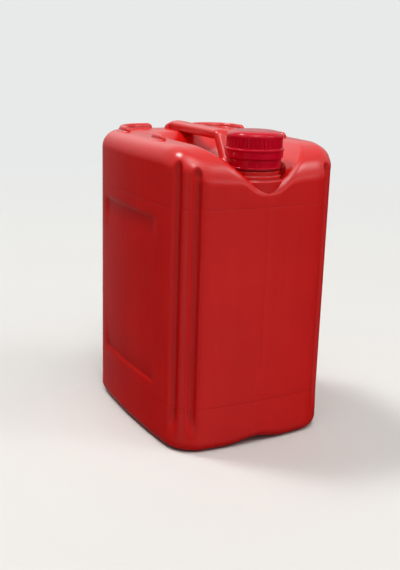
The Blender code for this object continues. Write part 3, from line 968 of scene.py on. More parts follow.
    def half_rings(self, under: float, sampling: Sampling) -> np.ndarray:
        """Half rings from the base's edge up the walls and over the top to the neck's bore.

        The base's and the top's edges are quarter circles, and the channel's rise fades out
        with height. Every ring is the plain outline, moved in square to itself.

        Args:
            under: How far the surface lies inside the skin.
            sampling: How closely to sample.

        Returns:
            Points by ring, place from front to back, and axis.
        """
        facing = self.facings()
        points = self.outline(facing)
        outward = np.column_stack([np.sin(facing), -np.cos(facing)])
        rise = self.channel_rise(points[:, 0])
        edge_r = self.front_edge_r + (self.top_edge_r - self.front_edge_r) * smooth_step(1.0 + outward[:, 1])

        def ring(inset: np.ndarray, z: np.ndarray) -> np.ndarray:
            """One half ring, inset at a height, with the flutes, panels and witness lines cut in.

            Args:
                inset: How far it lies inside the plain outline.
                z: Its height.

            Returns:
                The (x, y, z) points.
            """
            z = np.broadcast_to(z, inset.shape)
            inset = inset + self.flute_inset(facing, z) + self.panel_inset(points, z)
            if sampling.outside:
                inset = inset + self.mould_cut(points, z)
            place = points - outward * inset[:, None]
            place[0, 0] = place[-1, 0] = 0.0
            return np.column_stack([place, z])

        flat = np.full(len(points), under)
        rings = []
        for turn in np.linspace(0.0, math.pi / 2.0, sampling.base):
            z = self.base_edge_r - (self.base_edge_r - under) * math.cos(turn)
            inset = self.base_edge_r - (self.base_edge_r - flat) * math.sin(turn)
            rings.append(ring(inset, z + rise * (1.0 - z / self.channel_fade)))
        for z in self.wall_levels(sampling):
            rings.append(ring(flat, z + rise * max(0.0, 1.0 - z / self.channel_fade)))
        start = self.mould_lines[1] + self.line_levels[-1]
        foot = self.top(points[:, 0], points[:, 1], 0.0) - edge_r
        for share in np.linspace(0.0, 1.0, sampling.climb)[1:-1]:
            rings.append(ring(flat, start + (foot - start) * share))
        for turn in np.linspace(0.0, math.pi / 2.0, sampling.roll):
            inset = edge_r - (edge_r - under) * math.cos(turn)
            inner = points - outward * inset[:, None]
            height = self.top(inner[:, 0], inner[:, 1], under) - (edge_r - under) * (1.0 - math.sin(turn))
            rings.append(self.sunk(ring(inset, height), under))
        rings.extend(self.top_rings(rings[-1], under, sampling))
        return np.array(rings)

    def wall_levels(self, sampling: Sampling) -> np.ndarray:
        """Chooses the heights of the wall's rings: closely at the mould lines and panel edges.

        Args:
            sampling: How closely to sample.

        Returns:
            The heights, rising.
        """
        low_line, high_line = self.mould_lines
        low, high, fade = self.panel_low, self.panel_high, self.channel_fade
        if not sampling.outside:
            return np.array([0.030, fade, low, 0.12, 0.187, 0.25, high, high_line])
        edge = np.linspace(0.0, self.panel_edge, 6)
        parts = [
            np.linspace(self.base_edge_r, fade, 11)[1:],
            low_line + np.array(self.line_levels),
            [0.068],
            low + edge,
            np.linspace(low + self.panel_edge, high - self.panel_edge, 12)[1:-1],
            high - edge[::-1],
            [0.305],
            high_line + np.array(self.line_levels),
        ]
        return np.concatenate(parts)

    def top_rings(self, edge_ring: np.ndarray, under: float, sampling: Sampling) -> list[np.ndarray]:
        """Rings from the rolled edge in to the neck's bore.

        They turn from the can's outline into circles about the neck, with points spread
        evenly round them, and crowd together at the seat's wall.

        Args:
            edge_ring: The rolled edge's last half ring.
            under: How far the surface lies inside the skin.
            sampling: How closely to sample.

        Returns:
            Half rings, from the outermost in.
        """
        edge = edge_ring[:, :2] - (0.0, NECK_Y)
        edge_turn = np.arctan2(edge[:, 1], edge[:, 0])
        even_turn = np.linspace(-math.pi / 2.0, math.pi / 2.0, len(edge))
        approach = np.linspace(1.0, 0.0, sampling.approach)[1:]
        seat = [*np.linspace(*self.seat_rings, sampling.seat), *sampling.seat_floor]
        bore_share, seat_share = self.circle_shares
        rings = []
        for share, circle in [*((s, seat[0]) for s in approach), *((0.0, r) for r in seat[1:])]:
            turn = even_turn + (edge_turn - even_turn) * share
            place = read_off(turn, edge_turn, edge)
            reach = np.linalg.norm(place, axis=1)
            outness = (circle - NECK_BORE_R) / (seat[0] - NECK_BORE_R)
            inner = np.minimum(circle, reach * (bore_share + (seat_share - bore_share) * outness))
            out = inner + (reach - inner) * share
            x, y = (place * (out / reach)[:, None]).T + [[0.0], [NECK_Y]]
            x[0] = x[-1] = 0.0
            rings.append(self.sunk(np.column_stack([x, y, self.top(x, y, under)]), under))
        return rings

    def base_strips(self, ring: np.ndarray, skin: Skin) -> None:
        """Closes the base with strips that run from front to back, and a fan at either side.

        Args:
            ring: Numbers of the points of the base's innermost ring, the first at the front.
            skin: The skin that gets the strips.
        """
        half = len(ring) // 2
        quarter = (half + 1) // 2
        place = np.arange(quarter, -quarter - 1, -1)
        front, back = ring[place], ring[half - place]
        points = np.concatenate(skin.points)
        shares = np.linspace(0.0, 1.0, self.base_spans + 1)[1:-1, None, None]
        strips = points[front[1:-1]] * (1.0 - shares) + points[back[1:-1]] * shares
        grid = np.concatenate([front[None, 1:-1], skin.add_points(strips), back[None, 1:-1]])
        skin.quads.append(quads_between(grid))
        skin.triangles += [fan(grid[:, side], front[side]) for side in (0, -1)]

    def build(self, material: Material) -> Piece:
        """Makes the shell: outer skin and inner wall, joined at the neck's bore.

        Args:
            material: The can's plastic.

        Returns:
            The closed piece.
        """
        outer = self.half_rings(0.0, OUTER_WALL)
        inner = self.half_rings(self.wall, INNER_WALL)
        half = np.concatenate([outer, inner[::-1]])
        rings = np.concatenate([half, half[:, -2:0:-1] * (-1.0, 1.0, 1.0)], axis=1)
        skin = Skin()
        numbers = skin.add_rings(rings)
        for row in (0, -1):
            self.base_strips(numbers[row], skin)
        return skin.build("can_shell", material)


@dataclass
class CarryingHandle:
    """The hollow moulded grip over the valley, with a leg down to the valley's floor."""

    half_width: float = 0.0120
    half_thick: float = 0.0070
    grip_z: float = 0.3882
    rear_y: float = 0.106
    rear_foot: tuple[float, float] = (0.134, 0.3634)
    front_y: float = -0.0265
    leg_foot: tuple[float, float] = (-0.0550, 0.3420)
    bend_r: float = 0.010
    flare: float = 0.0030
    flare_run: float = 0.0060
    parting_rise: float = 0.00025
    parting_half: float = 0.07
    power: float = 2.8
    bend_steps: int = 13
    route_steps: int = 190
    section_steps: int = 72

    def route(self) -> np.ndarray:
        """Middle line of the handle: straight runs that meet in arcs of one radius.

        An arc's points are its ends, as seen from its centre, mixed by the sines of the
        angles left and done over the sine of the whole sweep.

        Returns:
            (y, z) points, evenly spaced.
        """
        stops = [self.rear_foot, (self.rear_y, self.grip_z), (self.front_y, self.grip_z), self.leg_foot]
        corners = [np.array(stop) for stop in stops]
        points = [corners[0]]
        for before, corner, after in zip(corners, corners[1:], corners[2:]):
            to_before, to_after = ((end - corner) / np.linalg.norm(end - corner) for end in (before, after))
            half = 0.5 * math.acos(float(np.clip(to_before @ to_after, -1.0, 1.0)))
            middle = (to_before + to_after) / np.linalg.norm(to_before + to_after)
            centre = corner + middle * self.bend_r / math.sin(half)
            start, end = (corner + to * self.bend_r / math.tan(half) - centre for to in (to_before, to_after))
            sweep = math.pi - 2.0 * half
            for share in np.linspace(0.0, 1.0, self.bend_steps):
                near = math.sin((1.0 - share) * sweep) / math.sin(sweep)
                points.append(centre + near * start + math.sin(share * sweep) / math.sin(sweep) * end)
        line = np.array([*points, corners[-1]])
        length = lengths_along(line)
        return read_off(np.linspace(0.0, length[-1], self.route_steps), length, line)

    def build(self, shell: CanShell, material: Material) -> Piece:
        """Makes the handle: an oval carried along its middle line, flared where it meets the can.

        The section is |x/a|^2.8 + |n/b|^2.8 = 1, with a fine ridge along the parting at x = 0.

        Args:
            shell: The shell that the feet stand on.
            material: The can's plastic.

        Returns:
            The closed piece.
        """
        line = self.route()
        normal = right_of(line)
        above = line[:, 1] - shell.shoulders(np.zeros(len(line)), line[:, 0])
        angle = np.linspace(0.0, 2.0 * math.pi, self.section_steps, endpoint=False)[None, :]
        waves = (np.cos(angle), np.sin(angle))
        side, out = (np.sign(wave) * np.abs(wave) ** (2.0 / self.power) for wave in waves)
        swell = self.flare * np.clip(1.0 - above / self.flare_run, 0.0, 1.0)[:, None] ** 2
        ridge = self.parting_rise * bell(np.cos(angle) / self.parting_half)
        across = (self.half_width + swell) * side
        away = (self.half_thick + swell + ridge) * out
        y, z = (line[:, axis, None] + normal[:, axis, None] * away for axis in (0, 1))
        skin = Skin()
        skin.add_rings(np.stack([across, y, z], axis=-1), poles=True)
        return skin.build("carrying_handle", material)


@dataclass
class StackingRim:
    """Raised hooks round the back corners and lugs on the shoulders, which another can sits between."""

    half_width: float = 0.0048
    rise: float = 0.0065
    rim_x: float = 0.0900
    back_y: float = 0.1240
    corner_r: float = 0.038
    back_end_x: float = 0.034
    hook_end_y: float = 0.074
    lug_rear_y: float = -0.008
    lug_front_y: float = -0.035
    foot_angle: float = math.radians(14.0)
    fillet: tuple[Point, ...] = ((1.18, 0.13), (1.42, 0.04), (1.66, -0.06), (1.66, -0.5))
    spacing: float = 0.0016
    section_steps: int = 21
    end_steps: int = 9
    tip_angle: float = 0.12
    bend_steps: int = 25
    crease: float = 60.0

    def section(self) -> np.ndarray:
        """Section of a ridge: half an oval whose feet run out into fillets.

        Returns:
            (across, up) points.
        """
        turn = np.linspace(self.foot_angle, math.pi - self.foot_angle, self.section_steps)
        oval = np.column_stack([self.half_width * np.cos(turn), self.rise * np.sin(turn)])
        foot = np.array(self.fillet) * (self.half_width, self.rise)
        return np.concatenate([foot[::-1], oval, foot * (-1.0, 1.0)])

    def ridge(self, route: np.ndarray, height: float) -> np.ndarray:
        """Rings of a ridge along a route on the shoulder, with rounded ends.

        The section shrinks to the route by a quarter circle over half a width at each end.

        Args:
            route: (x, y) points.
            height: Height of the shoulder.

        Returns:
            Points by place along the route, place across the section, and axis.
        """
        length = lengths_along(route)
        reach = self.half_width * self.fillet[-1][0]
        ends = reach * (1.0 - np.cos(np.linspace(self.tip_angle, math.pi / 2.0, self.end_steps)))
        steps = max(6, int(length[-1] / self.spacing))
        middle = np.linspace(reach, length[-1] - reach, steps)[1:-1]
        even = np.concatenate([ends, middle, length[-1] - ends[::-1]])
        line = read_off(even, length, route)
        side = right_of(line)
        near = np.clip(np.minimum(even, length[-1] - even) / reach, 0.0, 1.0)
        shrink = np.sqrt(1.0 - (1.0 - near) ** 2)[:, None]
        across, up = self.section().T
        x, y = (line[:, axis, None] + side[:, axis, None] * across * shrink for axis in (0, 1))
        crest = np.where(up > 0.0, up * shrink, np.broadcast_to(up, x.shape))
        return np.stack([x, y, height + crest], axis=-1)

    def routes(self) -> list[np.ndarray]:
        """Lays out two hooks with one round corner each, and two straight lugs.

        Returns:
            The (x, y) points of each.
        """
        turn = np.linspace(0.0, math.pi / 2.0, self.bend_steps)
        bend_x = self.rim_x - self.corner_r * (1.0 - np.cos(turn))
        bend_y = self.back_y - self.corner_r * (1.0 - np.sin(turn))
        extra = self.half_width * (self.fillet[-1][0] - 1.0)
        hook_x = np.concatenate([[self.rim_x], bend_x, [self.back_end_x - extra]])
        hook_y = np.concatenate([[self.hook_end_y - extra], bend_y, [self.back_y]])
        lug = np.array([[self.rim_x, self.lug_rear_y + extra], [self.rim_x, self.lug_front_y - extra]])
        hook = np.column_stack([hook_x, hook_y])
        return [route * (side, 1.0) for side in (-1.0, 1.0) for route in (hook, lug)]

    def build(self, shell: CanShell, material: Material) -> Piece:
        """Makes the rim's four ridges as one piece.

        Args:
            shell: The shell whose shoulders carry them.
            material: The can's plastic.

        Returns:
            The closed piece.
        """
        skin = Skin()
        for route in self.routes():
            skin.add_rings(self.ridge(route, shell.shoulder_z), poles=True)
        return skin.build("stacking_rim", material, self.crease)


@dataclass
class NeckFinish:
    """The neck on its round boss: platform, waist, bead, threaded spout and bore."""

    boss_r: float = 0.0390
    boss_foot_r: float = 0.0362
    boss_foot_z: float = 0.306
    boss_edge: float = 0.0015
    base_r: float = 0.0345
    ring_z: float = 0.3480
    waist_r: float = 0.0325
    base_z: float = 0.3545
    mouth_z: float = 0.3970
    bead_r: float = 0.0314
    bead_z: float = 0.3634
    bead_height: float = 0.0026
    thread_low_z: float = 0.3800
    thread_depth: float = 0.0016
    thread_turns: float = 2.2
    steps: int = 192
    thread_steps: int = 72
    lip: float = 0.0009
    root: float = 0.0012
    ring_lip: float = 0.0007
    ring_root: float = 0.0010
    ring_rise: float = 0.0018
    ring_fall: float = 0.0001
    foot_wall: float = 0.0020
    boss_wall: float = 0.0022
    boss_plate: float = 0.0030
    thread_room: float = 0.0060
    thread_end: float = 0.0035
    longest_span: float = 0.0012

    def on_spout(self, height: np.ndarray, radius: np.ndarray) -> np.ndarray:
        """Whether points are on the spout's outer side, where the thread is."""
        return (np.abs(radius - NECK_R) < SAME_RADIUS) & (height > self.bead_z + self.thread_room)

    def profile(self) -> np.ndarray:
        """Section of the neck and boss, with close points along the threaded height.

        Returns:
            Closed (radius, height) points, from the mouth down outside and back up inside.
        """
        edge, half_bead, lip, root = self.boss_edge, self.bead_height / 2.0, self.lip, self.root
        fold = self.ring_root
        outer = [
            *arc((NECK_BORE_R + lip, self.mouth_z - lip), lip, 180.0, 90.0, 4),
            *arc((NECK_R - lip, self.mouth_z - lip), lip, 90.0, 0.0, 4),
            *arc((NECK_R + root, self.bead_z + half_bead + root), root, 180.0, 270.0, 4)[:-1],
            *arc((self.bead_r - half_bead, self.bead_z), half_bead, 80.0, -80.0, 6),
            *arc((NECK_R + root, self.bead_z - half_bead - root), root, 90.0, 180.0, 4)[1:],
            *arc((NECK_R + root, self.base_z + root), root, 180.0, 270.0, 4),
            *arc((self.waist_r - lip, self.base_z - lip), lip, 90.0, 0.0, 4),
            *arc((self.waist_r + fold, self.ring_z + self.ring_rise), fold, 180.0, 270.0, 3),
            *arc((self.base_r - self.ring_lip, self.ring_z - self.ring_fall), self.ring_lip, 80.0, 0.0, 4),
            *arc((self.base_r + root, BOSS_Z + root), root, 180.0, 270.0, 4),
            *arc((self.boss_r - edge, BOSS_Z - edge), edge, 90.0, -4.0, 6),
            (self.boss_foot_r, self.boss_foot_z),
            (self.boss_foot_r - self.foot_wall, self.boss_foot_z),
            (self.boss_r - self.boss_wall, BOSS_Z - self.boss_plate),
            (NECK_BORE_R, BOSS_Z - self.boss_plate),
        ]
        section = refined(outer, self.longest_span, closed=True)
        spout = self.on_spout(section[:, 1], section[:, 0])
        heights = np.linspace(section[spout, 1].max(), section[spout, 1].min(), self.thread_steps)
        first = int(np.argmax(spout))
        close = np.column_stack([np.full(len(heights), NECK_R), heights])
        return np.concatenate([section[:first], close, section[first:][~spout[first:]]])

    def with_thread(self, angle: np.ndarray, height: np.ndarray, radius: np.ndarray) -> np.ndarray:
        """Radius with the male thread standing proud of the spout's outer side."""
        high = self.mouth_z - self.thread_end
        bump = thread_bump(angle, height, self.thread_low_z, high, self.thread_turns)
        return radius + np.where(self.on_spout(height, radius), self.thread_depth * bump, 0.0)

    def build(self, material: Material) -> Piece:
        """Makes the neck by turning its section about the neck's axis."""
        return turned_piece("neck_finish", self.profile(), self.steps, self.with_thread, material)


@dataclass
class ScrewCap:
    """The ribbed screw cap with a flat crown, a plain collar and a thread inside."""

    top_z: float = 0.4016
    plate: float = 0.0022
    radius: float = 0.0346
    crown_r: float = 0.0237
    crown_step: float = 0.00030
    shoulder_z: float = 0.3946
    rib_count: int = 42
    rib_depth: float = 0.0010
    rib_high_z: float = 0.3940
    rib_arch: float = 0.0030
    collar_r: float = 0.0368
    collar_high_z: float = 0.3810
    collar_lip: float = 0.0030
    waist_r: float = 0.0358
    low_z: float = 0.3686
    collar_low_z: float = 0.3700
    bore_r: float = 0.0314
    thread_low_z: float = 0.3778
    thread_depth: float = 0.0014
    thread_turns: float = 2.2
    steps_per_rib: int = 12
    crown_gap: float = 0.0004
    crown_bevel: float = 0.0003
    shoulder_steps: int = 14
    skirt_root: float = 0.0008
    collar_bevel: float = 0.0007
    bore_bevel: float = 0.0004
    longest_span: float = 0.0008
    lip: float = 0.0011
    edge: float = 0.0005
    skirt_wall: float = 0.0012
    inner_r: float = 0.0010
    groove_start: float = 0.45
    groove_soften: float = 0.4
    thread_end: float = 0.0080

    def profile(self) -> np.ndarray:
        """Section of the cap: crown, shoulder by a quarter of an oval, skirt, collar and bore.

        Returns:
            (radius, height) points from the crown's middle, down outside, and up inside.
        """
        drop, gap, lip, edge = self.top_z - self.crown_step, self.crown_gap, self.lip, self.edge
        inside_z = self.top_z - self.plate
        collar_foot_z, inside_r = self.collar_high_z - self.collar_lip, self.waist_r - self.skirt_wall
        turn = np.linspace(0.0, math.pi / 2.0, self.shoulder_steps + 1)
        shoulder_r = self.crown_r + gap + (self.radius - self.crown_r - gap) * np.sin(turn)
        shoulder_z = self.shoulder_z + (drop - self.shoulder_z) * np.cos(turn)
        outer = [
            (gap, self.top_z),
            (self.crown_r - self.crown_bevel, self.top_z),
            (self.crown_r, self.top_z - 0.0001),
            (self.crown_r + 0.0001, drop),
            *zip(shoulder_r, shoulder_z),
            (self.radius, self.collar_high_z + self.skirt_root),
            (self.radius + 0.0002, self.collar_high_z + 0.0001),
            *arc((self.collar_r - lip, self.collar_high_z - lip), lip, 90.0, 0.0, 5),
            *arc((self.collar_r - lip, collar_foot_z + lip), lip, 0.0, -50.0, 3),
            (self.waist_r, collar_foot_z - self.collar_bevel),
            *arc((self.waist_r - edge, self.collar_low_z + edge), edge, 0.0, -60.0, 3),
            (inside_r, self.low_z + edge),
            *arc((inside_r - edge, self.low_z + edge), edge, 0.0, -90.0, 3)[1:],
            (self.bore_r + self.bore_bevel, self.low_z),
            (self.bore_r, self.low_z + self.bore_bevel),
            *arc((self.bore_r - self.inner_r, inside_z - self.inner_r), self.inner_r, 0.0, 90.0, 4),
            (gap, inside_z),
        ]
        return refined(outer, self.longest_span)

    def shaped(self, angle: np.ndarray, height: np.ndarray, radius: np.ndarray) -> np.ndarray:
        """Radius with the grip's grooves outside and the thread inside.

        Round ribs stand between grooves: the groove's depth is a raised cosine of the angle,
        narrowed to an arch at its top end. The female thread stands proud of the bore.

        Args:
            angle: Angle about the cap's axis.
            height: Height of the point.
            radius: Radius of the plain section.

        Returns:
            The radius to use.
        """
        wave = 0.5 + 0.5 * np.cos(angle * self.rib_count)
        outside = (radius > self.bore_r + 0.0020) & (height > self.collar_high_z + 0.0002)
        arch = np.sqrt(np.clip((self.rib_high_z - height) / self.rib_arch, 0.0, 1.0))
        groove = (wave - self.groove_start + self.groove_soften * (arch - 1.0)) / self.groove_soften
        cut = np.where(outside, self.rib_depth * smooth_step(groove) * arch, 0.0)
        bore = np.abs(radius - self.bore_r) < SAME_RADIUS
        high = self.top_z - self.thread_end
        bump = thread_bump(angle, height, self.thread_low_z, high, self.thread_turns)
        return radius - cut - np.where(bore, self.thread_depth * bump, 0.0)

    def build(self, material: Material) -> Piece:
        """Makes the cap by turning its section and pressing in the grip."""
        steps = self.rib_count * self.steps_per_rib
        return turned_piece("cap_shell", self.profile(), steps, self.shaped, material, poles=True)


@dataclass
class TamperRing:
    """The tamper-evident ring left on the neck, with sunk panes round its side."""

    radius: float = 0.03375
    bore_r: float = 0.0323
    lip_r: float = 0.0304
    lip_height: float = 0.0032
    low_z: float = 0.3570
    pane_sets: int = 4
    pane_start: float = math.radians(-132)
    pane_narrow: float = math.radians(14)
    pane_post: float = math.radians(2.5)
    pane_wide: float = math.radians(58)
    pane_low_z: float = 0.3583
    pane_high_z: float = 0.3640
    pane_depth: float = 0.0005
    pane_edge: float = math.radians(1.2)
    pane_edge_z: float = 0.0006
    edge: float = 0.0004
    longest_span: float = 0.0005
    steps: int = 288

    def profile(self) -> np.ndarray:
        """Section of the ring, as high as its CAD node.

        Returns:
            Closed (radius, height) points, from the top's inner edge out, down and back.
        """
        edge, high_z = self.edge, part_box("tamper_ring")[1].z
        section = [
            *arc((self.bore_r + edge, high_z - edge), edge, 180.0, 90.0, 3),
            *arc((self.radius - edge, high_z - edge), edge, 90.0, 0.0, 3),
            *arc((self.radius - edge, self.low_z + edge), edge, 0.0, -90.0, 3),
            *arc((self.lip_r + edge, self.low_z + edge), edge, -90.0, -180.0, 3),
            (self.lip_r, self.low_z + self.lip_height * 0.5),
            (self.bore_r, self.low_z + self.lip_height),
        ]
        return refined(section, self.longest_span, closed=True)

    def with_panes(self, angle: np.ndarray, height: np.ndarray, radius: np.ndarray) -> np.ndarray:
        """Radius with a narrow and a wide sunk pane in each set, their edges smooth steps.

        Args:
            angle: Angle about the ring's axis.
            height: Height of the point.
            radius: Radius of the plain section.

        Returns:
            The radius to use.
        """
        place = np.mod(angle - self.pane_start, 2.0 * math.pi / self.pane_sets)
        wide_start = self.pane_narrow + self.pane_post
        narrow = plateau(place, 0.0, self.pane_narrow, self.pane_edge)
        wide = plateau(place, wide_start, wide_start + self.pane_wide, self.pane_edge)
        upright = plateau(height, self.pane_low_z, self.pane_high_z, self.pane_edge_z)
        outer = radius > self.radius - SAME_RADIUS
        return radius - np.where(outer, self.pane_depth * (narrow + wide) * upright, 0.0)

    def build(self, material: Material) -> Piece:
        """Makes the ring by turning its section."""
        return turned_piece("ring_band", self.profile(), self.steps, self.with_panes, material)


def direction(azimuth: float, elevation: float) -> Vector:
    """Unit vector to a compass angle, from +x towards +y, and a height, both in degrees."""
    turn, lift = math.radians(azimuth), math.radians(elevation)
    return Vector((math.cos(lift) * math.cos(turn), math.cos(lift) * math.sin(turn), math.sin(lift)))


@dataclass(frozen=True)
class Glow:
    """A soft patch of light in the surroundings.

    Attributes:
        azimuth: Compass angle of its middle in degrees, from +x towards +y.
        elevation: Its height over the horizon in degrees.
        sharpness: Power of the cosine that it fades by.
        strength: Its radiance in the middle.
    """

    azimuth: float
    elevation: float
    sharpness: float
    strength: float

    def radiance(self, graph: Graph, towards: Socket) -> Socket:
        """Radiance towards a direction: strength times the cosine to the middle, raised to sharpness.

        Args:
            graph: The world's graph.
            towards: The direction.

        Returns:
            The radiance.
        """
        inputs = {0: towards, 1: direction(self.azimuth, self.elevation)}
        cosine = graph.node("ShaderNodeVectorMath", inputs, operation="DOT_PRODUCT").outputs["Value"]
        faded = graph.math("POWER", graph.math("MAXIMUM", cosine, 0.0), self.sharpness)
        return graph.math("MULTIPLY", faded, self.strength)


@dataclass(frozen=True)
class Lamp:
    """An area lamp that faces the can from all but the camera's sight.

    Attributes:
        name: Name of the lamp.
        azimuth: Its compass angle in degrees, from +x towards +y.
        elevation: Its height over the horizon in degrees.
        size: Its width and height.
        power: Its power in watts.
        distance: How far it hangs from where it points.
        aim: Where it points.
    """

    name: str
    azimuth: float
    elevation: float
    size: tuple[float, float]
    power: float
    distance: float = 2.4
    aim: tuple[float, float, float] = (0.0, 0.0, 0.36)

    def hang(self) -> None:
        """Adds the lamp, which the camera itself doesn't see."""
        towards = direction(self.azimuth, self.elevation)
        lamp = bpy.data.lights.new(self.name, "AREA")
        lamp.shape = "ELLIPSE"
        lamp.size, lamp.size_y = self.size
        lamp.energy = self.power
        holder = bpy.data.objects.new(self.name, lamp)
        holder.location = Vector(self.aim) + self.distance * towards
        holder.rotation_euler = towards.to_track_quat("Z", "Y").to_euler()
        holder.visible_camera = False
        bpy.context.scene.collection.objects.link(holder)


@dataclass
class Studio:
    """Camera, lamps, world and pale floor.

    Attributes:
        eye: Place of the camera.
        forward: Direction in which it looks.
        right: Its right-hand side.
        sensor: Width of its sensor in millimetres.
        lens: Its focal length in millimetres.
        floor_half: Half the floor's width.
        floor_colour: Colour of the floor near the can.
        floor_clouds: Tone of the floor's faint clouds, as a share of that colour.
        floor_dimmed: Share of that colour that the floor throws back at the can.
        floor_ends: Distances over which the floor turns into the backdrop's tone.
        pale_colour: Tint of the surroundings.
        fill: Radiance of the even light from above.
        pale: Radiance of the backdrop that camera, glossy and transmission rays meet.
        low_shade: Radiance below the horizon.
        horizon: Heights between which the light from below turns into that from above.
        sky_glows: Patches of light above the horizon.
        low_glows: Patches of light below it.
        lamps: A low wide strip in front for the rolled edge, and a smaller lamp for glints.
    """

    eye: tuple[float, float, float] = (-0.5609, -1.0051, 0.4956)
    forward: tuple[float, float, float] = (0.46179, 0.84608, -0.26628)
    right: tuple[float, float, float] = (0.88120, -0.47185, 0.02894)
    sensor: float = 36.0
    lens: float = 77.08
    floor_half: float = 9.0
    floor_colour: Colour = (0.70, 0.684, 0.66)
    floor_clouds: float = 0.97
    floor_dimmed: float = 0.62
    floor_ends: tuple[float, float] = (0.9, 2.6)
    pale_colour: Colour = (0.985, 1.0, 0.995)
    fill: float = 0.08
    pale: float = 0.82
    low_shade: float = 0.02
    horizon: tuple[float, float] = (-0.08, 0.40)
    sky_glows: tuple[Glow, ...] = (
        Glow(azimuth=256, elevation=71, sharpness=18, strength=5.6),
        Glow(azimuth=130, elevation=61, sharpness=220, strength=54.0),
        Glow(azimuth=319, elevation=42, sharpness=90, strength=8.0),
        Glow(azimuth=82, elevation=27, sharpness=24, strength=0.60),
    )
    low_glows: tuple[Glow, ...] = (
        Glow(azimuth=282, elevation=-16, sharpness=6, strength=0.28),
        Glow(azimuth=76, elevation=-6, sharpness=12, strength=0.45),
        Glow(azimuth=211, elevation=-14, sharpness=30, strength=0.50),
    )
    lamps: tuple[Lamp, ...] = (
        Lamp("front strip", azimuth=296.0, elevation=16.0, size=(2.2, 0.26), power=2.6),
        Lamp("front glint", azimuth=250.0, elevation=54.0, size=(0.34, 0.26), power=5.0),
    )

    def add_camera(self) -> None:
        """Places the camera at the photograph's viewing angle."""
        data = bpy.data.cameras.new("camera")
        data.sensor_fit = "HORIZONTAL"
        data.sensor_width = self.sensor
        data.lens = self.lens
        data.clip_start = 0.05
        camera = bpy.data.objects.new("camera", data)
        bpy.context.scene.collection.objects.link(camera)
        forward = Vector(self.forward).normalized()
        right = Vector(self.right)
        right = (right - forward * right.dot(forward)).normalized()
        turn = Matrix((right, right.cross(forward), -forward)).transposed()
        camera.matrix_world = Matrix.Translation(Vector(self.eye)) @ turn.to_4x4()
        bpy.context.scene.camera = camera

    def add_world(self) -> None:
        """Surrounds the scene with soft light.

        Camera rays meet one pale tone all round. Diffuse rays meet a dim fill and the sky's
        glows, and glossy and transmission rays the pale tone and those glows. Below the
        horizon, where reflections don't see the floor, both meet a dark surround with three
        weak glows.
        """
        world = bpy.data.worlds.new("studio")
        world.use_nodes = True
        bpy.context.scene.world = world
        graph = Graph(world.node_tree)
        towards = graph.node("ShaderNodeTexCoord").outputs["Generated"]
        path = graph.node("ShaderNodeLightPath").outputs
        mirrored = graph.math("MAXIMUM", path["Is Glossy Ray"], path["Is Transmission Ray"])
        even = graph.span(mirrored, 0.0, 1.0, self.fill, self.pale)
        sky = graph.math("ADD", even, *(glow.radiance(graph, towards) for glow in self.sky_glows))
        low = graph.math("ADD", self.low_shade, *(glow.radiance(graph, towards) for glow in self.low_glows))
        above = graph.span(graph.node("ShaderNodeSeparateXYZ", {0: towards}).outputs["Z"], *self.horizon)
        around = graph.span(above, 0.0, 1.0, low, sky)
        strength = graph.span(path["Is Camera Ray"], 0.0, 1.0, around, self.pale)
        background = world.node_tree.nodes["Background"]
        graph.feed(background, {"Color": opaque(self.pale_colour), "Strength": strength})

    def floor_material(self) -> Material:
        """Pale painted board that turns into the evenly pale backdrop away from the can.

        Camera, glossy and transmission rays meet its own colour, and diffuse rays a darker one.

        Returns:
            The new material.
        """
        material, graph, shader, place = new_material("pale_floor")
        clouds = graph.noise(place, 3.0, 3.0)
        tone = graph.mix(clouds, opaque(self.floor_colour), opaque(self.floor_colour, self.floor_clouds))
        path = graph.node("ShaderNodeLightPath").outputs
        rays = (path["Is Camera Ray"], path["Is Glossy Ray"], path["Is Transmission Ray"])
        seen = graph.math("MAXIMUM", *rays)
        inputs = {0: tone, "Scale": graph.span(seen, 0.0, 1.0, self.floor_dimmed, 1.0)}
        tone = graph.node("ShaderNodeVectorMath", inputs, operation="SCALE").outputs["Vector"]
        graph.feed(shader, {"Base Color": tone, "Roughness": 0.65})
        away = graph.node("ShaderNodeVectorMath", {0: place}, operation="LENGTH").outputs["Value"]
        share = graph.math("MULTIPLY", seen, graph.span(away, *self.floor_ends))
        pale = graph.node("ShaderNodeEmission", {"Color": opaque(self.pale_colour), "Strength": self.pale})
        both = graph.node("ShaderNodeMixShader", {0: share, 1: shader.outputs[0], 2: pale.outputs[0]})
        graph.feed(material.node_tree.nodes["Material Output"], {"Surface": both.outputs[0]})
        return material

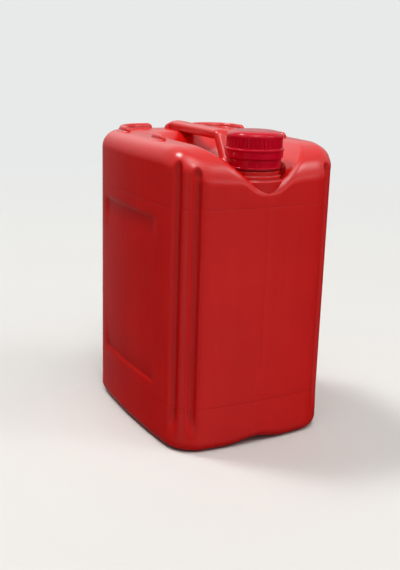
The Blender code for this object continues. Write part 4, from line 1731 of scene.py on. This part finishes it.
    def add_floor(self) -> None:
        """Lays a wide flat floor, whose far part has the surroundings' own pale tone."""
        steps = np.linspace(-self.floor_half, self.floor_half, 7)
        x, y = np.meshgrid(steps, steps)
        skin = Skin()
        skin.quads.append(quads_between(skin.add_points(np.stack([x, y, np.zeros_like(x)], axis=-1))))
        floor = skin.build("floor", self.floor_material())
        floor.visible_glossy = False

    def build(self) -> None:
        """Sets the stage and the plain colour transform."""
        bpy.context.scene.view_settings.view_transform = "Standard"
        self.add_camera()
        for lamp in self.lamps:
            lamp.hang()
        self.add_world()
        self.add_floor()


@dataclass
class Jerrycan:
    """The whole can, dressed around its CAD nodes."""

    nodes: dict[str, Piece]
    effects: Effects = field(default_factory=Effects)

    def attach(self, piece: Piece, body: Body, slot: Slot, node: str | None = None) -> None:
        """Makes a piece ride on a body, and stand for a CAD node if one is named.

        Args:
            piece: The new piece.
            body: The body that carries it.
            slot: The record's material slot for its finish; not used.
            node: The CAD node that it stands for, or None.
        """
        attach(piece, body.value)
        if node:
            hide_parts(node)
        LOG.info("%s: %d faces", piece.name, len(piece.data.polygons))

    def build(self) -> None:
        """Builds every piece in order, from the shell to the cap."""
        red = CAN_PLASTIC.build(self.effects)
        crimson = CAP_PLASTIC.build(self.effects)
        shell = CanShell()
        self.attach(shell.build(red), Body.CAN, Slot.CAN, "can_body")
        self.attach(CarryingHandle().build(shell, red), Body.CAN, Slot.CAN)
        self.attach(StackingRim().build(shell, red), Body.CAN, Slot.CAN)
        self.attach(NeckFinish().build(red), Body.CAN, Slot.CAN)
        self.attach(TamperRing().build(crimson), Body.CAN, Slot.CAP, "tamper_ring")
        self.attach(ScrewCap().build(crimson), Body.CAP, Slot.CAP, "screw_cap")
        disc = self.nodes["sealing_disc"]
        disc.data.materials[0] = FoamFinish().build()
        LOG.info("%s keeps its CAD shape", disc.name)


def main() -> None:
    """Loads the frame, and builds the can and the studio."""
    logging.basicConfig(level=logging.INFO, format="%(message)s")
    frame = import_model()
    Jerrycan(frame["nodes"]).build()
    Studio().build()


if __name__ == "__main__":
    main()
